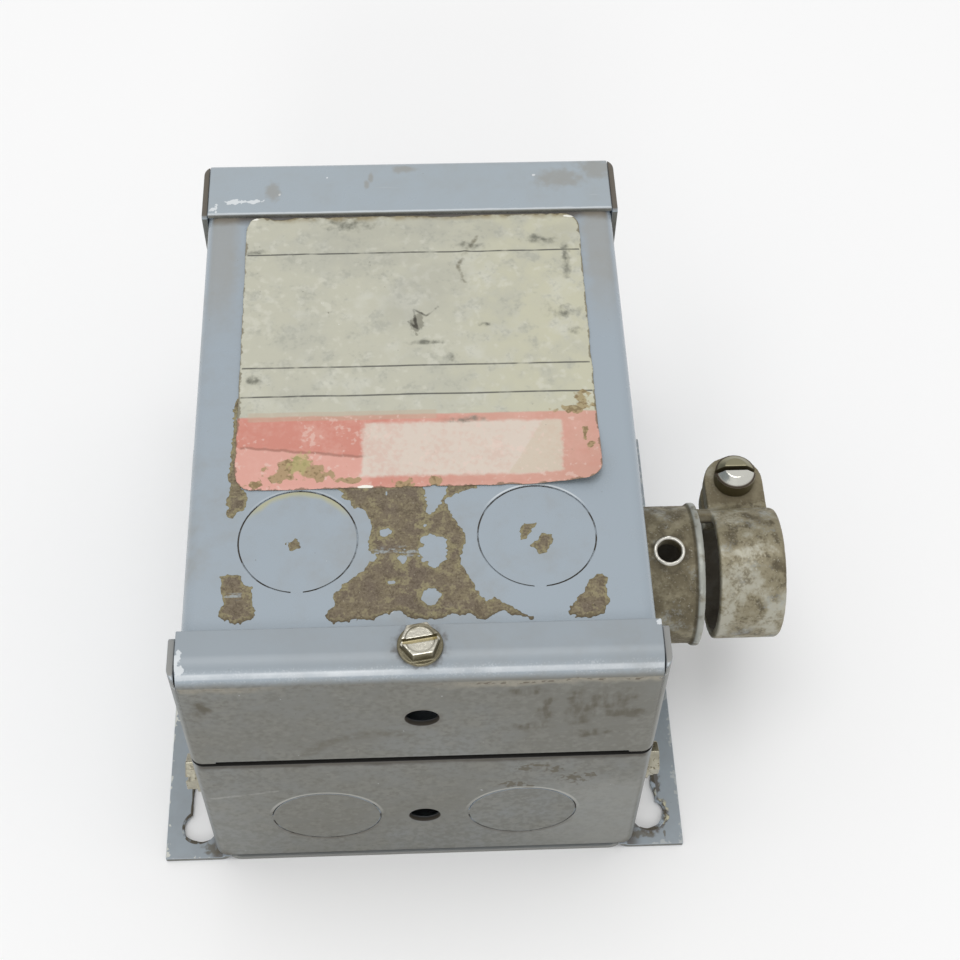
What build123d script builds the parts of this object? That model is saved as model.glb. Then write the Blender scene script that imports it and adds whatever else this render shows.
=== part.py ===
import os
from math import cos, radians, sin

from build123d import *

os.makedirs("parts", exist_ok=True)

# Sheet steel of the case, bent with one tool
sheet = 1.2
bend_mid = 2.0
wall_clear = 0.25

# Case: the frame starts at the middle of the back face, and the front faces up
case_len = 123.9
wall_half = 42.6
front_height = 82.0
flange_width = 12.8
flange_corner = 0.3
flange_gap = 1.8
strip_height = 2.0
back_lip_height = 14.0

# Keyholes in the mounting flanges
key_from_wall = 5.9
key_from_near = 7.0
key_from_far = 17.35
key_r = 3.65
key_slot_width = 3.8
key_slot_len = 9.0

# Round knockouts and the slits around them
knockout_r = 11.1
knockout_slit = 0.3
tie_width = 2.2
front_knockout_x = 22.0
front_knockout_from_near = 28.3
end_knockout_x = 19.9
end_knockout_z = 21.6

# Wiring cover, end plate and cap
tab_gap = 0.7
tab_corner = 0.6
band_seam = 0.25
cover_band_len = 9.4
cover_bend_mid = 3.9
cover_tab_len = 8.9
cover_gap = 1.0
cover_hole_z = 65.0
cover_step = 0.6
cover_step_inset = 5.0
plate_top = 47.0
plate_bottom = 2.5
plate_tab_len = 13.0
plate_hole_z = 20.6
end_hole_r = 3.15
cap_gap = 0.1
cap_band_len = 15.2
cap_tab_len = 14.8
cap_bottom = 0.3

# Potted block that fills the far half of the case
core_from_near = 63.0

# Hexagon screws with a washer face and a sunk top
washer_r = 4.1
washer_thick = 0.7
hex_r = 3.6
hex_height = 2.2
hex_rim = 0.5
hex_sink = 0.3
slot_width = 1.0
slot_depth = 1.0
shank_r = 1.75
shank_len = 9.0
cover_screw_from_near = 5.0
cover_screw_turn = 9.0
side_screw_from_near = 6.5
side_screw_z = 31.0
side_screw_turn = 35.0

# Squeeze connector on the right-hand wall
connector_from_near = 43.5
connector_z = 41.0
nipple_r = 10.9
nipple_len = 9.0
nipple_bore_r = 9.0
barrel_r = 14.4
barrel_len = 13.7
lip_r = 15.0
lip_len = 1.5
slit_len = 3.2
clamp_r = 13.6
clamp_len = 13.6
clamp_edge = 0.5
conduit_r = 11.6
conduit_stop = 5.4
neck_deg = 55.0
split_width = 2.6
lug_reach = 20.0
lug_half = 6.3
lug_thick = 3.9
set_hole_from_wall = 8.1
set_hole_deg = 101.5
set_hole_r = 2.45
set_rim_r = 3.15
set_rim_height = 0.5
locknut_r = 14.6
locknut_len = 3.5
locknut_sides = 8
clamp_head_r = 4.3
clamp_head_side = 3.2
clamp_crown = 1.5
clamp_crown_r = 2.4
clamp_shank_r = 2.3
clamp_shank_end = 1.2

# Places that follow from the sizes above
near_y = -case_len / 2
far_y = case_len / 2
bend_out = bend_mid + sheet / 2
cover_bend_out = cover_bend_mid + sheet / 2
wall_mid = wall_half - sheet / 2
wall_in = wall_half - sheet
wall_inset = sheet + wall_clear
front_mid = front_height - sheet / 2
band_top = front_height + sheet
tab_half = wall_half + tab_gap + sheet
cap_half = wall_half + cap_gap + sheet
flange_half = wall_half + flange_width
flange_len = case_len - cap_band_len - flange_gap
key_x = wall_half + key_from_wall
key_rows = (near_y + key_from_near, near_y + flange_len - key_from_far)
cover_bottom = plate_top + cover_gap
cover_screw_y = near_y + cover_screw_from_near
side_screw_y = near_y + side_screw_from_near
connector_y = near_y + connector_from_near
lip_x = wall_half + barrel_len
slit_x = lip_x + lip_len
clamp_x = slit_x + slit_len
clamp_end_x = clamp_x + clamp_len
stop_x = wall_half + conduit_stop
lug_x = clamp_x + clamp_len / 2
lug_y = connector_y + lug_reach
lug_half_height = split_width / 2 + lug_thick
lug_top = connector_z + lug_half_height
neck_angle = radians(neck_deg)
set_angle = radians(set_hole_deg)
set_plane = Plane(
    (wall_half + set_hole_from_wall, connector_y, connector_z),
    x_dir=(1, 0, 0),
    z_dir=(0, cos(set_angle), sin(set_angle)),
)
front_knockouts = [
    (side * front_knockout_x, near_y + front_knockout_from_near) for side in (-1, 1)
]
end_knockouts = [(side * end_knockout_x, end_knockout_z) for side in (-1, 1)]


def sheet_profile(points, turn_r=bend_mid):
    """Face of a bent sheet whose middle line turns square at each inner point."""
    runs = [(Vector(*b) - Vector(*a)).normalized() for a, b in zip(points, points[1:])]
    edges = {1: [], -1: []}
    for place, point in enumerate(points):
        turns = runs[max(place - 1, 0) : place + 1]
        bend = turns[0].cross(turns[-1]).Z
        outward = sum((Vector(-run.Y, run.X) for run in turns), Vector())
        for side, corners in edges.items():
            radius = turn_r - side * bend * sheet / 2 if len(turns) > 1 else 0
            corners.append((Vector(*point) + outward * side * sheet / 2, radius))
    corners = edges[1] + edges[-1][::-1]
    with BuildLine() as border:
        FilletPolyline([c for c, r in corners], radius=[r for c, r in corners], close=True)
    make_face(border.edges())


def end_pan(wall_y, inward, low, high, half, tab_len):
    """End wall with a tab bent inward along each side."""
    middle_y = wall_y + inward * sheet / 2
    tab_y = wall_y + inward * tab_len
    tab_x = half - sheet / 2
    with BuildSketch(Plane.XY.offset(low)) as outline:
        sheet_profile([(-tab_x, tab_y), (-tab_x, middle_y), (tab_x, middle_y), (tab_x, tab_y)])
    pan = extrude(outline.sketch, amount=high - low)
    corners = pan.edges().filter_by(Axis.X).filter_by_position(Axis.Y, tab_y, tab_y)
    chamfer(corners, length=tab_corner)


def front_band(wall_y, inward, half, band_len, turn_r=bend_mid):
    """Band bent from the top of an end wall over the front, with open corners beside it."""
    middle_y = wall_y + inward * sheet / 2
    band_y = wall_y + inward * band_len
    band_z = band_top - sheet / 2
    turn_out = turn_r + sheet / 2
    bend_z = band_top - turn_out
    with Locations((0, wall_y, bend_z + turn_out / 2)):
        Box((half - sheet) * 2, turn_out * 2, turn_out, mode=Mode.SUBTRACT)
    # The corners beside the band follow its bend
    with BuildSketch(Plane.YZ) as corner:
        with Locations((wall_y, bend_z)):
            Rectangle(turn_out * 2, turn_out * 2, align=(Align.CENTER, Align.MIN))
        with Locations((wall_y + inward * turn_out, bend_z)):
            Circle(turn_out, mode=Mode.SUBTRACT)
    extrude(corner.sketch, amount=half, both=True, mode=Mode.SUBTRACT)
    with BuildSketch(Plane.YZ) as profile:
        sheet_profile([(band_y, band_z), (middle_y, band_z), (middle_y, bend_z - wall_clear)], turn_r)
    extrude(profile.sketch, amount=half - sheet - band_seam, both=True)


def knockout(label, plane, tie_deg):
    """Round blank that one tie still holds in its hole."""
    with BuildPart() as blank:
        with BuildSketch(plane):
            Rectangle(tie_width, knockout_r * 2, rotation=tie_deg, align=(Align.CENTER, Align.MIN))
            Circle(knockout_r, mode=Mode.INTERSECT)
            Circle(knockout_r - knockout_slit)
        extrude(amount=-sheet)
    blank.part.label = label
    export_step(blank.part, f"parts/{label}.step")


def hex_screw(label, seat, turn):
    """Slotted hexagon screw with a washer face that sits on the seat plane."""
    top = seat.offset(washer_thick + hex_height)
    with BuildPart() as screw:
        with BuildSketch(seat):
            Circle(washer_r)
        extrude(amount=washer_thick)
        with BuildSketch(seat.offset(washer_thick)):
            RegularPolygon(hex_r, side_count=6, rotation=turn)
        extrude(amount=hex_height)
        with BuildSketch(top):
            Circle(hex_r - hex_rim * 2)
        extrude(amount=-hex_sink, mode=Mode.SUBTRACT)
        with BuildSketch(top):
            Rectangle(hex_r * 2, slot_width, rotation=turn)
        extrude(amount=-slot_depth, mode=Mode.SUBTRACT)
        with BuildSketch(seat):
            Circle(shank_r)
        extrude(amount=-shank_len)
    screw.part.label = label
    export_step(screw.part, f"parts/{label}.step")


# Hat-shaped wrapper: front face, side walls and mounting flanges in one bent sheet
with BuildPart() as wrapper:
    with BuildSketch(Plane.XZ.offset(-near_y)):
        sheet_profile(
            [
                (-flange_half, sheet / 2),
                (-wall_mid, sheet / 2),
                (-wall_mid, front_mid),
                (wall_mid, front_mid),
                (wall_mid, sheet / 2),
                (flange_half, sheet / 2),
            ]
        )
    extrude(amount=-(case_len - bend_out))
    # The walls start behind the near end wall, and the front clears the bend of the cover
    with BuildSketch(Plane.XY.offset(strip_height)):
        with Locations((0, near_y)):
            Rectangle(flange_half * 2, wall_inset, align=(Align.CENTER, Align.MIN))
    extrude(amount=front_height, mode=Mode.SUBTRACT)
    with BuildSketch(Plane.XY.offset(front_height - cover_bend_out)):
        with Locations((0, near_y)):
            Rectangle(wall_half * 2, cover_bend_out, align=(Align.CENTER, Align.MIN))
    extrude(amount=cover_bend_out, mode=Mode.SUBTRACT)
    # The flanges stop short of the cap
    with BuildSketch(Plane.XY):
        with Locations((0, near_y + flange_len)):
            Rectangle(flange_half * 2, case_len, align=(Align.CENTER, Align.MIN))
    extrude(amount=bend_out, mode=Mode.SUBTRACT)
    corners = wrapper.edges().filter_by(Axis.Z).filter_by(lambda e: abs(e.center().X) > key_x)
    fillet(corners, radius=flange_corner)
    # Keyholes with the slot towards the far end
    with BuildSketch(Plane.XY):
        for side in (-1, 1):
            for row in key_rows:
                with Locations((side * key_x, row)):
                    Circle(key_r)
                    Rectangle(key_slot_width, key_slot_len, align=(Align.CENTER, Align.MIN))
                with Locations((side * key_x, row + key_slot_len)):
                    Circle(key_slot_width / 2)
    extrude(amount=sheet, mode=Mode.SUBTRACT)
    # Holes for knockouts, connector and screws
    with BuildSketch(Plane.XY.offset(front_height)):
        with Locations(*front_knockouts):
            Circle(knockout_r)
        with Locations((0, cover_screw_y)):
            Circle(shank_r)
    extrude(amount=-sheet, mode=Mode.SUBTRACT)
    with BuildSketch(Plane.YZ):
        with Locations((connector_y, connector_z)):
            Circle(knockout_r)
        with Locations((side_screw_y, side_screw_z)):
            Circle(shank_r)
    extrude(amount=wall_half, both=True, mode=Mode.SUBTRACT)
wrapper.part.label = "wrapper"
export_step(wrapper.part, "parts/wrapper.step")

# Back plate with an upturned lip along each side wall
with BuildPart() as back_plate:
    back_mid = wall_in - sheet / 2
    with BuildSketch(Plane.XZ.offset(-near_y)):
        sheet_profile(
            [
                (-back_mid, back_lip_height),
                (-back_mid, sheet / 2),
                (back_mid, sheet / 2),
                (back_mid, back_lip_height),
            ]
        )
    extrude(amount=-(case_len - wall_inset))
    with BuildSketch(Plane.XY.offset(strip_height)):
        with Locations((0, near_y)):
            Rectangle(wall_half * 2, wall_inset, align=(Align.CENTER, Align.MIN))
    extrude(amount=back_lip_height, mode=Mode.SUBTRACT)
back_plate.part.label = "back_plate"
export_step(back_plate.part, "parts/back_plate.step")

# Potted core and coil behind the wiring space
with BuildPart() as core_block:
    core_half = wall_in - sheet
    core_y = near_y + core_from_near
    with BuildSketch(Plane.XZ.offset(-core_y)):
        with Locations((0, front_height / 2)):
            RectangleRounded(core_half * 2, front_height - sheet * 2, bend_mid)
    extrude(amount=-(far_y - wall_inset - core_y))
core_block.part.label = "core_block"
export_step(core_block.part, "parts/core_block.step")

# Cap over the far end
with BuildPart() as top_cap:
    end_pan(far_y, -1, cap_bottom, front_height, cap_half, cap_tab_len)
    front_band(far_y, -1, cap_half, cap_band_len)
top_cap.part.label = "top_cap"
export_step(top_cap.part, "parts/top_cap.step")

# Wiring cover over the front half of the near end
with BuildPart() as wiring_cover:
    end_pan(near_y, 1, cover_bottom, front_height, tab_half, cover_tab_len)
    front_band(near_y, 1, tab_half, cover_band_len, cover_bend_mid)
    with BuildSketch(Plane.XZ.offset(-near_y)):
        with Locations((0, cover_hole_z)):
            Circle(end_hole_r)
        with Locations((0, cover_bottom)):
            Rectangle((tab_half - cover_step_inset) * 2, cover_step * 2)
    extrude(amount=-sheet, mode=Mode.SUBTRACT)
    with BuildSketch(Plane.XY.offset(front_height - sheet)):
        with Locations((0, cover_screw_y)):
            Circle(shank_r)
    extrude(amount=sheet * 2, mode=Mode.SUBTRACT)
wiring_cover.part.label = "wiring_cover"
export_step(wiring_cover.part, "parts/wiring_cover.step")

# End plate over the back half of the near end
with BuildPart() as end_plate:
    end_pan(near_y, 1, plate_bottom, plate_top, tab_half, plate_tab_len)
    with BuildSketch(Plane.XZ.offset(-near_y)):
        with Locations(*end_knockouts):
            Circle(knockout_r)
        with Locations((0, plate_hole_z)):
            Circle(end_hole_r)
    extrude(amount=-sheet, mode=Mode.SUBTRACT)
    with BuildSketch(Plane.YZ):
        with Locations((side_screw_y, side_screw_z)):
            Circle(shank_r)
    extrude(amount=tab_half, both=True, mode=Mode.SUBTRACT)
end_plate.part.label = "end_plate"
export_step(end_plate.part, "parts/end_plate.step")

# Knockouts still in place
for name, (x, y) in zip(("knockout_front_left", "knockout_front_right"), front_knockouts):
    knockout(name, Plane((x, y, front_height), x_dir=(1, 0, 0), z_dir=(0, 0, 1)), 180)
for name, (x, z) in zip(("knockout_end_left", "knockout_end_right"), end_knockouts):
    knockout(name, Plane((x, near_y, z), x_dir=(1, 0, 0), z_dir=(0, -1, 0)), 90)
knockout(
    "knockout_side_left",
    Plane((-wall_half, connector_y, connector_z), x_dir=(0, -1, 0), z_dir=(-1, 0, 0)),
    0,
)

# Screws of the cover and of the end plate
hex_screw(
    "cover_screw",
    Plane((0, cover_screw_y, band_top), x_dir=(1, 0, 0), z_dir=(0, 0, 1)),
    cover_screw_turn,
)
for name, side in (("side_screw_left", -1), ("side_screw_right", 1)):
    hex_screw(
        name,
        Plane((side * tab_half, side_screw_y, side_screw_z), x_dir=(0, 1, 0), z_dir=(side, 0, 0)),
        side_screw_turn,
    )

# Squeeze connector: nipple, barrel with a lip, and a split clamp ring on a neck
with BuildPart() as connector:
    with BuildSketch(Plane.XY.offset(connector_z)):
        with BuildLine():
            Polyline(
                (wall_in - nipple_len, connector_y + nipple_bore_r),
                (wall_in - nipple_len, connector_y + nipple_r),
                (wall_half, connector_y + nipple_r),
                (wall_half, connector_y + barrel_r),
                (lip_x, connector_y + barrel_r),
                (lip_x, connector_y + lip_r),
                (slit_x, connector_y + lip_r),
                (slit_x, connector_y + clamp_r),
                (clamp_end_x - clamp_edge, connector_y + clamp_r),
                (clamp_end_x, connector_y + clamp_r - clamp_edge),
                (clamp_end_x, connector_y + conduit_r),
                (stop_x, connector_y + conduit_r),
                (stop_x, connector_y + nipple_bore_r),
                close=True,
            )
        make_face()
    revolve(axis=Axis((0, connector_y, connector_z), (1, 0, 0)))
    # Slit that frees the clamp ring, all but a neck beside the fixed lug
    with BuildSketch(Plane.YZ.offset(slit_x)):
        with Locations((connector_y, connector_z)):
            Circle(clamp_r)
            Polygon(
                (0, 0),
                (clamp_r * 2, 0),
                (clamp_r * 2 * cos(neck_angle), clamp_r * 2 * sin(neck_angle)),
                align=None,
                mode=Mode.SUBTRACT,
            )
    extrude(amount=slit_len, mode=Mode.SUBTRACT)
    # Pair of lugs on the far side, split from each other and drilled for the screw
    with BuildSketch(Plane.XY.offset(connector_z)):
        with Locations((lug_x, connector_y)):
            Rectangle(lug_half * 2, lug_reach, align=(Align.CENTER, Align.MIN))
        with Locations((lug_x, lug_y)):
            Circle(lug_half)
    extrude(amount=lug_half_height, both=True)
    with BuildSketch(Plane.YZ.offset(clamp_x)):
        with Locations((connector_y, connector_z)):
            Circle(conduit_r)
    extrude(amount=clamp_len, mode=Mode.SUBTRACT)
    with Locations((slit_x, connector_y + nipple_bore_r, connector_z)):
        Box(
            slit_len + clamp_len,
            lug_reach + lug_half,
            split_width,
            align=(Align.MIN, Align.MIN, Align.CENTER),
            mode=Mode.SUBTRACT,
        )
    with BuildSketch(Plane.XY.offset(connector_z)):
        with Locations((lug_x, lug_y)):
            Circle(clamp_shank_r)
    extrude(amount=lug_half_height, both=True, mode=Mode.SUBTRACT)
    # Empty set-screw hole with a raised rim
    with BuildSketch(set_plane.offset((barrel_r + conduit_r) / 2)):
        Circle(set_rim_r)
    extrude(amount=(barrel_r - conduit_r) / 2 + set_rim_height)
    with BuildSketch(set_plane.offset(conduit_r / 2)):
        Circle(set_hole_r)
    extrude(amount=barrel_r, mode=Mode.SUBTRACT)
connector.part.label = "connector"
export_step(connector.part, "parts/connector.step")

# Locknut that holds the nipple from inside
with BuildPart() as locknut:
    with BuildSketch(Plane.YZ.offset(wall_in)):
        with Locations((connector_y, connector_z)):
            RegularPolygon(locknut_r, side_count=locknut_sides)
            Circle(nipple_r, mode=Mode.SUBTRACT)
    extrude(amount=-locknut_len)
locknut.part.label = "locknut"
export_step(locknut.part, "parts/locknut.step")

# Screw with a high crowned head through the lugs
with BuildPart() as clamp_screw:
    head_top = lug_top + clamp_head_side + clamp_crown
    shank_bottom = connector_z - lug_half_height - clamp_shank_end
    with BuildSketch(Plane.XZ.offset(-lug_y)):
        with BuildLine():
            Polyline(
                (lug_x, head_top),
                (lug_x, shank_bottom),
                (lug_x + clamp_shank_r, shank_bottom),
                (lug_x + clamp_shank_r, lug_top),
                (lug_x + clamp_head_r, lug_top),
                (lug_x + clamp_head_r, lug_top + clamp_head_side),
                (lug_x + clamp_crown_r, head_top),
                close=True,
            )
        make_face()
    revolve(axis=Axis((lug_x, lug_y, 0), (0, 0, 1)))
    with BuildSketch(Plane.XY.offset(head_top)):
        with Locations((lug_x, lug_y)):
            Rectangle(clamp_head_r * 2, slot_width)
    extrude(amount=-(slot_depth + clamp_crown), mode=Mode.SUBTRACT)
clamp_screw.part.label = "clamp_screw"
export_step(clamp_screw.part, "parts/clamp_screw.step")
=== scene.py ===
from math import cos, pi, radians, sin

import bmesh
import bpy
import numpy as np
from bpy.props import FloatProperty, FloatVectorProperty, PointerProperty
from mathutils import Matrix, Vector, noise
from mathutils.bvhtree import BVHTree
from mathutils.kdtree import KDTree


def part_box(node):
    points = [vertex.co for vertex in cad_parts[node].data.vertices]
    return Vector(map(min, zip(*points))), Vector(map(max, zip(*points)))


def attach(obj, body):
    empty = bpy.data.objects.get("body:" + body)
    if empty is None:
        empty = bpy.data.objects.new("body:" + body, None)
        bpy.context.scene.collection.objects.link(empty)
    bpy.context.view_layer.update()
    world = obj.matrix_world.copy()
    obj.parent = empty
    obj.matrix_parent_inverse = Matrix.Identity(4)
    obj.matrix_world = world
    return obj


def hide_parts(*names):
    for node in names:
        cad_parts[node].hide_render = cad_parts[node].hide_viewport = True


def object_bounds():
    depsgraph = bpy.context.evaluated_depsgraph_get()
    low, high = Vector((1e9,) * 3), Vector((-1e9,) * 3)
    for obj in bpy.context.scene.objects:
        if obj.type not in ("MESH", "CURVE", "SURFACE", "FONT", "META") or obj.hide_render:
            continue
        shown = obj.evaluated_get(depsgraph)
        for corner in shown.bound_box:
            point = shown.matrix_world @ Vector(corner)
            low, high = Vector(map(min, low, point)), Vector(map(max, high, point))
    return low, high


bl_info = {
    "name": "Weathered Dry-Type Transformer",
    "version": (1, 0, 0),
    "blender": (4, 5, 0),
    "location": "View3D > Sidebar > Transformer",
    "description": "Dresses the packed transformer with paint, label, residue and worn metal",
    "category": "Object",
}

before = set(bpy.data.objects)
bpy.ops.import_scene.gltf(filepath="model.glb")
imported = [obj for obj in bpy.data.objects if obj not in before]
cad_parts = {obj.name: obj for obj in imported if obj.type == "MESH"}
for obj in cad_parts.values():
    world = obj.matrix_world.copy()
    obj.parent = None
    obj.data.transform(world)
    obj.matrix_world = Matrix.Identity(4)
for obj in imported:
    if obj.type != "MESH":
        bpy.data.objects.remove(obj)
cad_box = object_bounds()

MM = 0.001
BODY = "root"
FRONT_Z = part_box("knockout_front_left")[1].z / MM
BAND_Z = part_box("wiring_cover")[1].z / MM
NEAR_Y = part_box("end_plate")[0].y / MM
CAP_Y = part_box("top_cap")[0].y / MM
COVER_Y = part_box("wiring_cover")[1].y / MM
FLANGE_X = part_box("wrapper")[1].x / MM
FLANGE_Z = 1.2
KEYHOLE_X, KEYHOLE_Y, KEYHOLE_R = 48.5, -54.95, 3.65
KEYHOLE_SLOT_R, KEYHOLE_SLOT = 1.9, 9.0
KNOCKOUT_R = 11.1
FRONT_KNOCKOUT_X, FRONT_KNOCKOUT_Y = 22.0, -33.65
END_KNOCKOUT_X, END_KNOCKOUT_Z = 19.9, 21.6
COVER_HOLE, PLATE_HOLE = (0, NEAR_Y, 65), (0, NEAR_Y, 20.6)
BORE_AXIS = (0, -18.45, 41.0)
SET_SCREW_HOLE = (50.7, -21.35, 55.2)
KNOCKOUTS = [node for node in sorted(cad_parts) if node.startswith("knockout")]


def linear(colour):
    """Linear RGBA of a colour written as sRGB."""
    return (*(c / 12.92 if c <= 0.04045 else ((c + 0.055) / 1.055) ** 2.4 for c in colour), 1.0)


def tone(red, green, blue):
    """Colour from sRGB steps of 0 to 255."""
    return (red / 255, green / 255, blue / 255)


def colour_prop(name, description, steps):
    """Colour that a user may change."""
    return FloatVectorProperty(
        name=name, description=description, subtype="COLOR_GAMMA", size=3, min=0, max=1, default=tone(*steps)
    )


def length_prop(name, description, value):
    """Length in metres that a user may change."""
    return FloatProperty(name=name, description=description, unit="LENGTH", precision=5, default=value * MM)


class Wire:
    """Output of a node, on which arithmetic adds Math nodes to the same finish."""

    def __init__(self, finish, socket):
        self.finish = finish
        self.socket = socket

    def math(self, operation, *values):
        return self.finish.node("ShaderNodeMath", {"operation": operation}, dict(enumerate(values)))

    def __add__(self, other):
        return self.math("ADD", self, other)

    def __radd__(self, other):
        return self.math("ADD", other, self)

    def __sub__(self, other):
        return self.math("SUBTRACT", self, other)

    def __rsub__(self, other):
        return self.math("SUBTRACT", other, self)

    def __mul__(self, other):
        return self.math("MULTIPLY", self, other)

    def __rmul__(self, other):
        return self.math("MULTIPLY", other, self)

    def __truediv__(self, other):
        return self.math("DIVIDE", self, other)

    def __rtruediv__(self, other):
        return self.math("DIVIDE", other, self)

    def __neg__(self):
        return self.math("MULTIPLY", self, -1)

    def __abs__(self):
        return self.math("ABSOLUTE", self)

    def least(self, other):
        return self.math("MINIMUM", self, other)

    def most(self, other):
        return self.math("MAXIMUM", self, other)

    def ramp(self, start, end):
        """0 up to start and 1 from end on, smooth between, also with start above end."""
        sockets = {"Value": self, "From Min": start, "From Max": end}
        return self.finish.node("ShaderNodeMapRange", {"interpolation_type": "SMOOTHSTEP"}, sockets)


class Finish:
    """Procedural material with layers laid over a base colour, in millimetres of the shared frame."""

    def __init__(self, name, tint, rough, metal=0.0):
        self.material = bpy.data.materials.new(name)
        self.material.use_nodes = True
        self.tree = self.material.node_tree
        self.tree.nodes.clear()
        self.tint, self.rough, self.metal, self.rise = linear(tint), rough, metal, 0.0
        place = self.node("ShaderNodeTexCoord", output="Object")
        self.place = self.vector("SCALE", place, Scale=1 / MM)
        self.x, self.y, self.z = (
            self.node("ShaderNodeSeparateXYZ", sockets={0: self.place}, output=axis) for axis in "XYZ"
        )
        self.normal = self.node("ShaderNodeNewGeometry", output="Normal")

    def node(self, kind, settings=None, sockets=None, output=0):
        """Any node: its settings first, then values or links for its sockets."""
        made = self.tree.nodes.new(kind)
        for key, value in (settings or {}).items():
            setattr(made, key, value)
        for key, value in (sockets or {}).items():
            if isinstance(value, Wire):
                self.tree.links.new(value.socket, made.inputs[key])
            else:
                made.inputs[key].default_value = value
        return Wire(self, made.outputs[output]) if made.outputs else None

    def vector(self, operation, first, second=None, output="Vector", **values):
        sockets = {0: first, **values}
        if second is not None:
            sockets[1] = second
        return self.node("ShaderNodeVectorMath", {"operation": operation}, sockets, output)

    def length(self, vector):
        """Length of a vector."""
        return self.vector("LENGTH", vector, output="Value")

    def facing(self, direction):
        """How far the surface faces a direction, from -1 to 1."""
        return self.vector("DOT_PRODUCT", self.normal, direction, "Value")

    def noise(self, size, detail=3, seed=0, stretch=None):
        """Noise of about that many millimetres, around a half."""
        place = self.place if stretch is None else self.vector("DIVIDE", self.place, stretch)
        sockets = {"Vector": place, "W": seed, "Scale": 1 / size, "Detail": detail}
        return self.node("ShaderNodeTexNoise", {"noise_dimensions": "4D"}, sockets)

    def edge(self, radius):
        """0 on flat ground, rising at the edges."""
        rounded = self.node("ShaderNodeBevel", {"samples": 4}, {"Radius": radius * MM})
        return 1 - self.vector("DOT_PRODUCT", rounded, self.normal, "Value")

    def near(self, centre, radii):
        """0 at the middle of an oval and 1 on its rim."""
        return self.length(self.vector("DIVIDE", self.vector("SUBTRACT", self.place, centre), radii))

    def spots(self, ovals, ragged, seed, size=1.2, soft=0.2):
        """1 inside the ovals and 0 outside, with ragged rims."""
        close = None
        for centre, radii in ovals:
            distance = self.near(centre, radii)
            close = distance if close is None else close.least(distance)
        return (close + (self.noise(size, 4, seed) - 0.5) * ragged).ramp(1 + soft / 2, 1 - soft / 2)

    def line(self, start, end, width, soft, ragged=0.0, seed=0):
        """1 along a straight stroke and 0 away from it."""
        start, run = Vector(start), Vector(end) - Vector(start)
        away = self.vector("SUBTRACT", self.place, start)
        along = (self.vector("DOT_PRODUCT", away, run, "Value") / run.length_squared).most(0.0).least(1.0)
        foot = self.vector("SCALE", run, Scale=along)
        distance = self.length(self.vector("SUBTRACT", away, foot))
        if ragged:
            distance = distance + (self.noise(1.4, 3, seed) - 0.5) * ragged
        return distance.ramp(width / 2 + soft, width / 2)

    def strokes(self, points, width, soft, ragged, seed):
        """Stroke through several points."""
        mask = None
        for start, end in zip(points, points[1:]):
            stroke = self.line(start, end, width, soft, ragged, seed)
            mask = stroke if mask is None else mask.most(stroke)
        return mask

    def lay(self, mask, tint=None, rough=None, metal=None, rise=None):
        """Layer over what is there: its colour, roughness and metal, and its height in millimetres."""
        if tint is not None:
            mix = {"data_type": "RGBA", "clamp_factor": True}
            self.tint = self.node("ShaderNodeMix", mix, {0: mask, 6: self.tint, 7: linear(tint)}, 2)
        if rough is not None:
            self.rough = self.rough + (rough - self.rough) * mask
        if metal is not None:
            self.metal = self.metal + (metal - self.metal) * mask
        if rise is not None:
            self.rise = self.rise + mask * rise
        return self

    def done(self, **constants):
        """Joins the layers in one shader and returns the material."""
        sockets = {"Base Color": self.tint, "Roughness": self.rough, "Metallic": self.metal, **constants}
        if isinstance(self.rise, Wire):
            bump = {"Strength": 1.0, "Distance": MM, "Height": self.rise}
            sockets["Normal"] = self.node("ShaderNodeBump", sockets=bump, output="Normal")
        shader = self.node("ShaderNodeBsdfPrincipled", sockets=sockets)
        self.node("ShaderNodeOutputMaterial", sockets={"Surface": shader})
        return self.material


def welded(node):
    """Copy of a CAD node's mesh with its seams closed and its flat faces whole."""
    cut = bmesh.new()
    cut.from_mesh(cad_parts[node].data)
    bmesh.ops.remove_doubles(cut, verts=cut.verts, dist=0.002 * MM)
    return cut


def piece_from(cut, name):
    """Object from a bmesh, shaded smooth and without normals of the CAD mesh."""
    mesh = bpy.data.meshes.new(name)
    cut.to_mesh(mesh)
    cut.free()
    if "custom_normal" in mesh.attributes:
        mesh.attributes.remove(mesh.attributes["custom_normal"])
    mesh.materials.clear()
    mesh.polygons.foreach_set("use_smooth", [True] * len(mesh.polygons))
    piece = bpy.data.objects.new(name, mesh)
    bpy.context.scene.collection.objects.link(piece)
    return piece


def softened(node, name, width):
    """Sheet piece with the sharp edges of its CAD node broken, which stands for that node."""
    cut = welded(node)
    bmesh.ops.dissolve_limit(cut, angle_limit=radians(0.5), verts=cut.verts, edges=cut.edges)
    others = [
        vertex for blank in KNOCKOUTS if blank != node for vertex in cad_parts[blank].data.vertices
    ]
    slits = KDTree(len(others))
    for index, vertex in enumerate(others):
        slits.insert(vertex.co, index)
    slits.balance()
    sharp = [
        edge for edge in cut.edges
        if len(edge.link_faces) == 2 and edge.calc_face_angle() > radians(35)
        and max(slits.find(v.co)[2] for v in edge.verts) > 1.2 * MM
    ]
    skin = BVHTree.FromBMesh(cut)
    bmesh.ops.bevel(
        cut, geom=sharp, offset=width, offset_type="OFFSET", segments=2, profile=0.5, affect="EDGES",
        clamp_overlap=False,
    )
    low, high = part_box(node)
    for vertex in cut.verts:
        foot, _, _, away = skin.find_nearest(vertex.co)
        if away > width / 2:
            vertex.co = foot
        vertex.co = [min(max(c, a), b) for a, c, b in zip(low, vertex.co, high)]
    piece = piece_from(cut, name)
    flat = piece.modifiers.new("flat_faces", "WEIGHTED_NORMAL")
    flat.weight = 100
    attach(piece, BODY)
    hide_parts(node)
    return piece


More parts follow.
